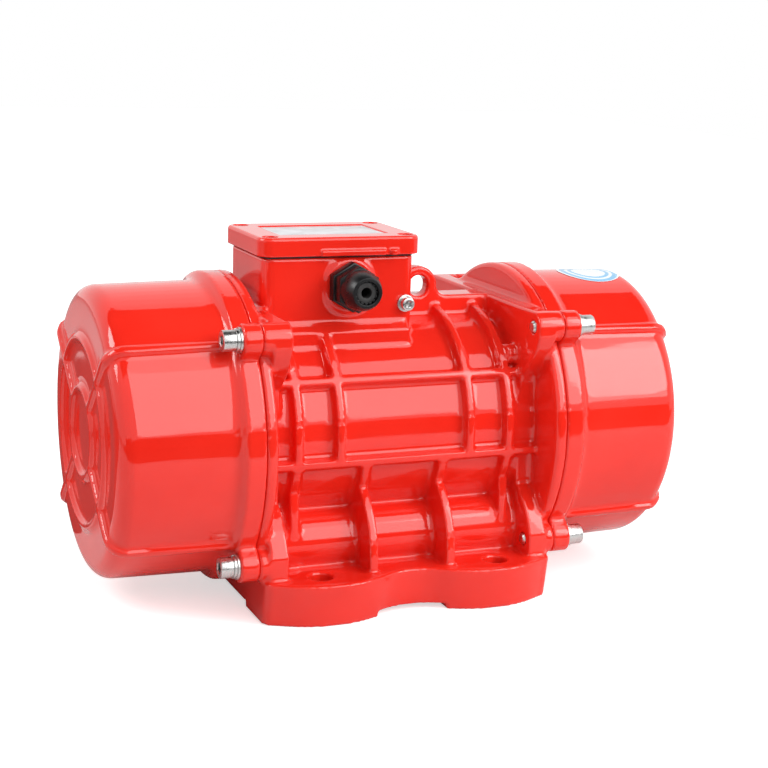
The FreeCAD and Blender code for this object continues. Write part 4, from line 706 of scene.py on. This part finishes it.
class MOTOR_OT_gland(Operator):
    """Make the cable gland: its body, dome nut, claws and seal"""
    bl_idname = "motor.gland"
    bl_label = "Cable gland"

    def execute(self, context):
        edge = context.scene.motor_fasteners.small_edge
        eased("gland_base", "gland_body", "black_nylon", edge * GLAND_EDGES)
        eased("gland_dome", "gland_nut", "black_nylon", edge * GLAND_EDGES)
        low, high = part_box("gland_claws")
        heart, outer = (low + high) / 2, (high.x - low.x) / 2
        count = context.scene.motor_fasteners.fingers
        bm = bmesh.new()
        for number in range(count):
            finger = bmesh.ops.create_cube(bm, size=1)["verts"]
            size = (outer * FINGERS_WIDTH / count, high.y - low.y, outer * FINGER_THICKNESS)
            bmesh.ops.scale(bm, vec=size, verts=finger)
            lines = list({line for vert in finger for line in vert.link_edges})
            faces = bevel(bm, lines, edge * FINGER_EDGES)["faces"]
            turn = (Matrix.Translation(heart) @ Matrix.Rotation(math.tau * number / count, 4, "Y")
                    @ Matrix.Translation((0, 0, outer * FINGER_PLACE)))
            bmesh.ops.transform(bm, matrix=turn,
                                verts=list({vert for face in faces for vert in face.verts}))
        linked("gland_fingers", smooth_mesh(bm, "gland_fingers", SMALL_TURN), "gland_claws",
               "black_nylon")
        eased("gland_sleeve", "gland_seal", "black_rubber", edge)
        return {"FINISHED"}


class MOTOR_OT_cover_disc(Operator):
    """Lay the plain disc on top of the right cover"""
    bl_idname = "motor.cover_disc"
    bl_label = "Cover disc"

    def execute(self, context):
        sizes = context.scene.motor_fasteners
        cover = bpy.data.objects["right_cover_casting"]
        skin = BVHTree.FromObject(cover, context.evaluated_depsgraph_get())
        low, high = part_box("right_cover")
        shaft = Vector((low.x + (high.x - low.x) * DISC_PLACE, 0, (low.z + high.z) / 2))
        lean = math.radians(DISC_LEAN)
        bm = bmesh.new()
        bmesh.ops.create_grid(bm, x_segments=DISC_CELLS, y_segments=DISC_CELLS, size=1)
        for vert in bm.verts:
            x, y = vert.co.xy
            vert.co = Vector((x * math.sqrt(1 - y ** 2 / 2),
                              y * math.sqrt(1 - x ** 2 / 2), 0)) * sizes.disc_radius
        bmesh.ops.solidify(bm, geom=bm.faces[:], thickness=DISC_THICKNESS)
        for vert in bm.verts:
            lift = vert.co.z
            turn = lean + vert.co.y / ((high.z - low.z) / 2)
            ray = Vector((0, -math.sin(turn), math.cos(turn)))
            start = shaft + Vector((vert.co.x, 0, 0))
            hit = skin.ray_cast(start + ray * RAY_START, -ray)[0]
            vert.co = hit + ray * (DISC_LIFT + lift)
        bmesh.ops.recalc_face_normals(bm, faces=bm.faces)
        centre = sum((vert.co for vert in bm.verts), Vector()) / len(bm.verts)
        mesh = smooth_mesh(bm, "cover_disc", SMALL_TURN)
        disc = bpy.data.objects.new("cover_disc", mesh)
        context.scene.collection.objects.link(disc)
        mesh.materials.append(disc_paper(context.scene.motor_colours, centre, sizes.disc_radius))
        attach(disc, "frame")
        return {"FINISHED"}


class MOTOR_OT_inner_finishes(Operator):
    """Give every piece inside the motor its own finish"""
    bl_idname = "motor.inner_finishes"
    bl_label = "Inner finishes"

    def execute(self, context):
        made = finishes()
        for node in frame["nodes"].values():
            for slot in node.material_slots:
                name = slot.material.name.split(".")[0] if slot.material else ""
                slot.material = made.get(name) or made["zinc_steel"]
        return {"FINISHED"}


class MOTOR_OT_studio(Operator):
    """Set the floor, the soft lights, the white room and the camera"""
    bl_idname = "motor.studio"
    bl_label = "Studio"

    def card(self, name, size, place, aim, material):
        """A flat sheet of the studio, its face turned to a point."""
        bm = bmesh.new()
        bmesh.ops.create_grid(bm, x_segments=1, y_segments=1, size=0.5)
        bmesh.ops.scale(bm, vec=(*size, 1), verts=bm.verts)
        turn = (Vector(aim) - Vector(place)).to_track_quat("Z", "Y").to_matrix().to_4x4()
        bmesh.ops.transform(bm, matrix=Matrix.Translation(place) @ turn, verts=bm.verts)
        mesh = mesh_of(bm, name)
        mesh.materials.append(material)
        sheet = bpy.data.objects.new(name, mesh)
        bpy.context.scene.collection.objects.link(sheet)
        return sheet

    def flag(self, name, size, place, aim, material):
        """A dark card that only the gloss of the motor sees."""
        sheet = self.card(name, size, place, aim, material)
        sheet.visible_camera = sheet.visible_diffuse = sheet.visible_shadow = False
        sheet.visible_transmission = sheet.visible_volume_scatter = False

    def softbox(self, name, power, size, place, aim):
        """A soft rectangular light, turned to a point, that the camera doesn't see."""
        light = bpy.data.lights.new(name, "AREA")
        light.shape = "RECTANGLE"
        light.size, light.size_y = size
        light.energy = power
        lamp = bpy.data.objects.new(name, light)
        lamp.location = place
        lamp.rotation_euler = (Vector(aim) - Vector(place)).to_track_quat("-Z", "Y").to_euler()
        lamp.visible_camera = False
        bpy.context.scene.collection.objects.link(lamp)

    def white_room(self, strength):
        """Even light for the surfaces, and white for the camera, the gloss and clear pieces."""
        world = bpy.data.worlds.new("room")
        bpy.context.scene.world = world
        world.use_nodes = True
        tree = world.node_tree
        air = tree.nodes["Background"]
        air.inputs["Strength"].default_value = strength
        air.inputs["Color"].default_value = (1, 1, 1, 1)
        white = tree.nodes.new("ShaderNodeBackground")
        white.inputs["Strength"].default_value = 1.0
        white.inputs["Color"].default_value = (1, 1, 1, 1)
        rays = tree.nodes.new("ShaderNodeLightPath")
        seen = rays.outputs["Is Camera Ray"]
        for kind in ("Is Glossy Ray", "Is Transmission Ray"):
            either = tree.nodes.new("ShaderNodeMath")
            either.operation = "MAXIMUM"
            tree.links.new(seen, either.inputs[0])
            tree.links.new(rays.outputs[kind], either.inputs[1])
            seen = either.outputs["Value"]
        pick = tree.nodes.new("ShaderNodeMixShader")
        tree.links.new(seen, pick.inputs["Fac"])
        tree.links.new(air.outputs["Background"], pick.inputs[1])
        tree.links.new(white.outputs["Background"], pick.inputs[2])
        tree.links.new(pick.outputs["Shader"], tree.nodes["World Output"].inputs["Surface"])

    def card_finish(self, name, tone):
        """A matt grey of one tone, and its shader."""
        material, _, bsdf = finish_of(name)
        bsdf.inputs["Base Color"].default_value = (tone, tone, tone, 1)
        bsdf.inputs["Roughness"].default_value = 1.0
        return material, bsdf

    def floor_finish(self):
        """Pale matt floor that the camera sees a little lighter, to meet the white room."""
        material, tree, bsdf = finish_of("pale_floor")
        bsdf.inputs["Base Color"].default_value = (0.78, 0.78, 0.78, 1)
        bsdf.inputs["Roughness"].default_value = 0.8
        glow = tree.nodes.new("ShaderNodeEmission")
        place = tree.nodes.new("ShaderNodeTexCoord")
        reach = tree.nodes.new("ShaderNodeVectorMath")
        reach.operation = "LENGTH"
        fade = tree.nodes.new("ShaderNodeMapRange")
        fade.inputs["From Min"].default_value = 0.25
        fade.inputs["From Max"].default_value = 1.6
        fade.inputs["To Min"].default_value = 0.60
        fade.inputs["To Max"].default_value = 0.95
        tree.links.new(place.outputs["Object"], reach.inputs[0])
        tree.links.new(reach.outputs["Value"], fade.inputs["Value"])
        tree.links.new(fade.outputs["Result"], glow.inputs["Strength"])
        none = tree.nodes.new("ShaderNodeEmission")
        none.inputs["Strength"].default_value = 0.0
        rays = tree.nodes.new("ShaderNodeLightPath")
        pick = tree.nodes.new("ShaderNodeMixShader")
        both = tree.nodes.new("ShaderNodeAddShader")
        tree.links.new(rays.outputs["Is Camera Ray"], pick.inputs["Fac"])
        tree.links.new(none.outputs["Emission"], pick.inputs[1])
        tree.links.new(glow.outputs["Emission"], pick.inputs[2])
        tree.links.new(bsdf.outputs["BSDF"], both.inputs[0])
        tree.links.new(pick.outputs["Shader"], both.inputs[1])
        tree.links.new(both.outputs["Shader"], tree.nodes["Material Output"].inputs["Surface"])
        return material

    def place_camera(self, scene):
        """The camera at its place, turned by its yaw, pitch and roll."""
        yaw, pitch, roll = (math.radians(turn) for turn in CAMERA_TURNS)
        ahead = Vector((math.sin(yaw) * math.cos(pitch), math.cos(yaw) * math.cos(pitch),
                        -math.sin(pitch)))
        level = Vector((math.cos(yaw), -math.sin(yaw), 0))
        upright = level.cross(ahead)
        right = level * math.cos(roll) + upright * math.sin(roll)
        above = upright * math.cos(roll) - level * math.sin(roll)
        camera = bpy.data.objects.new("camera", bpy.data.cameras.new("camera"))
        camera.data.lens = CAMERA_LENS
        camera.data.sensor_width = CAMERA_SENSOR
        camera.matrix_world = Matrix((
            (right.x, above.x, -ahead.x, CAMERA_PLACE[0]),
            (right.y, above.y, -ahead.y, CAMERA_PLACE[1]),
            (right.z, above.z, -ahead.z, CAMERA_PLACE[2]),
            (0, 0, 0, 1)))
        scene.collection.objects.link(camera)
        scene.camera = camera

    def execute(self, context):
        scene, levels = context.scene, context.scene.motor_studio
        self.card(*FLOOR, self.floor_finish())
        dark, bsdf = self.card_finish("dark_card", levels.flags)
        bsdf.inputs["Specular IOR Level"].default_value = 0.0
        for flag in DARK_FLAGS:
            self.flag(*flag, dark)
        self.flag(*GREY_FLAG, self.card_finish("grey_card", GREY_TONE)[0])
        for name, (size, place) in SOFTBOXES.items():
            self.softbox(name + "_softbox", getattr(levels, name), size, place, HEART)
        self.white_room(levels.air)
        self.place_camera(scene)
        scene.view_settings.view_transform = "Standard"
        return {"FINISHED"}


# ---------------------------------------------------------------- panel and registration
STEPS = (MOTOR_OT_studio, MOTOR_OT_inner_finishes, MOTOR_OT_housing, MOTOR_OT_covers, MOTOR_OT_lid,
         MOTOR_OT_cover_screws, MOTOR_OT_small_screws, MOTOR_OT_gland, MOTOR_OT_cover_disc)


class MOTOR_PT_sidebar(Panel):
    """The motor's sizes, colours and steps"""
    bl_idname = "MOTOR_PT_sidebar"
    bl_label = "Vibration motor"
    bl_space_type = "VIEW_3D"
    bl_region_type = "UI"
    bl_category = "Motor"

    def draw(self, context):
        for group in GROUPS:
            box = self.layout.box()
            for name in GROUPS[group].__annotations__:
                box.prop(getattr(context.scene, group), name)
        for step in STEPS:
            self.layout.operator(step.bl_idname)


GROUPS = {"motor_castings": MotorCastings, "motor_fasteners": MotorFasteners,
          "motor_colours": MotorColours, "motor_studio": MotorStudio}


def register():
    for kind in (*GROUPS.values(), *STEPS, MOTOR_PT_sidebar):
        bpy.utils.register_class(kind)
    for name, kind in GROUPS.items():
        setattr(bpy.types.Scene, name, PointerProperty(type=kind))


def unregister():
    for name in GROUPS:
        delattr(bpy.types.Scene, name)
    for kind in (MOTOR_PT_sidebar, *STEPS[::-1], *GROUPS.values()):
        bpy.utils.unregister_class(kind)


def main():
    """Register the classes and run every step."""
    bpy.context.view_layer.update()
    register()
    for step in STEPS:
        group, name = step.bl_idname.split(".")
        getattr(getattr(bpy.ops, group), name)()


if __name__ == "__main__":
    main()
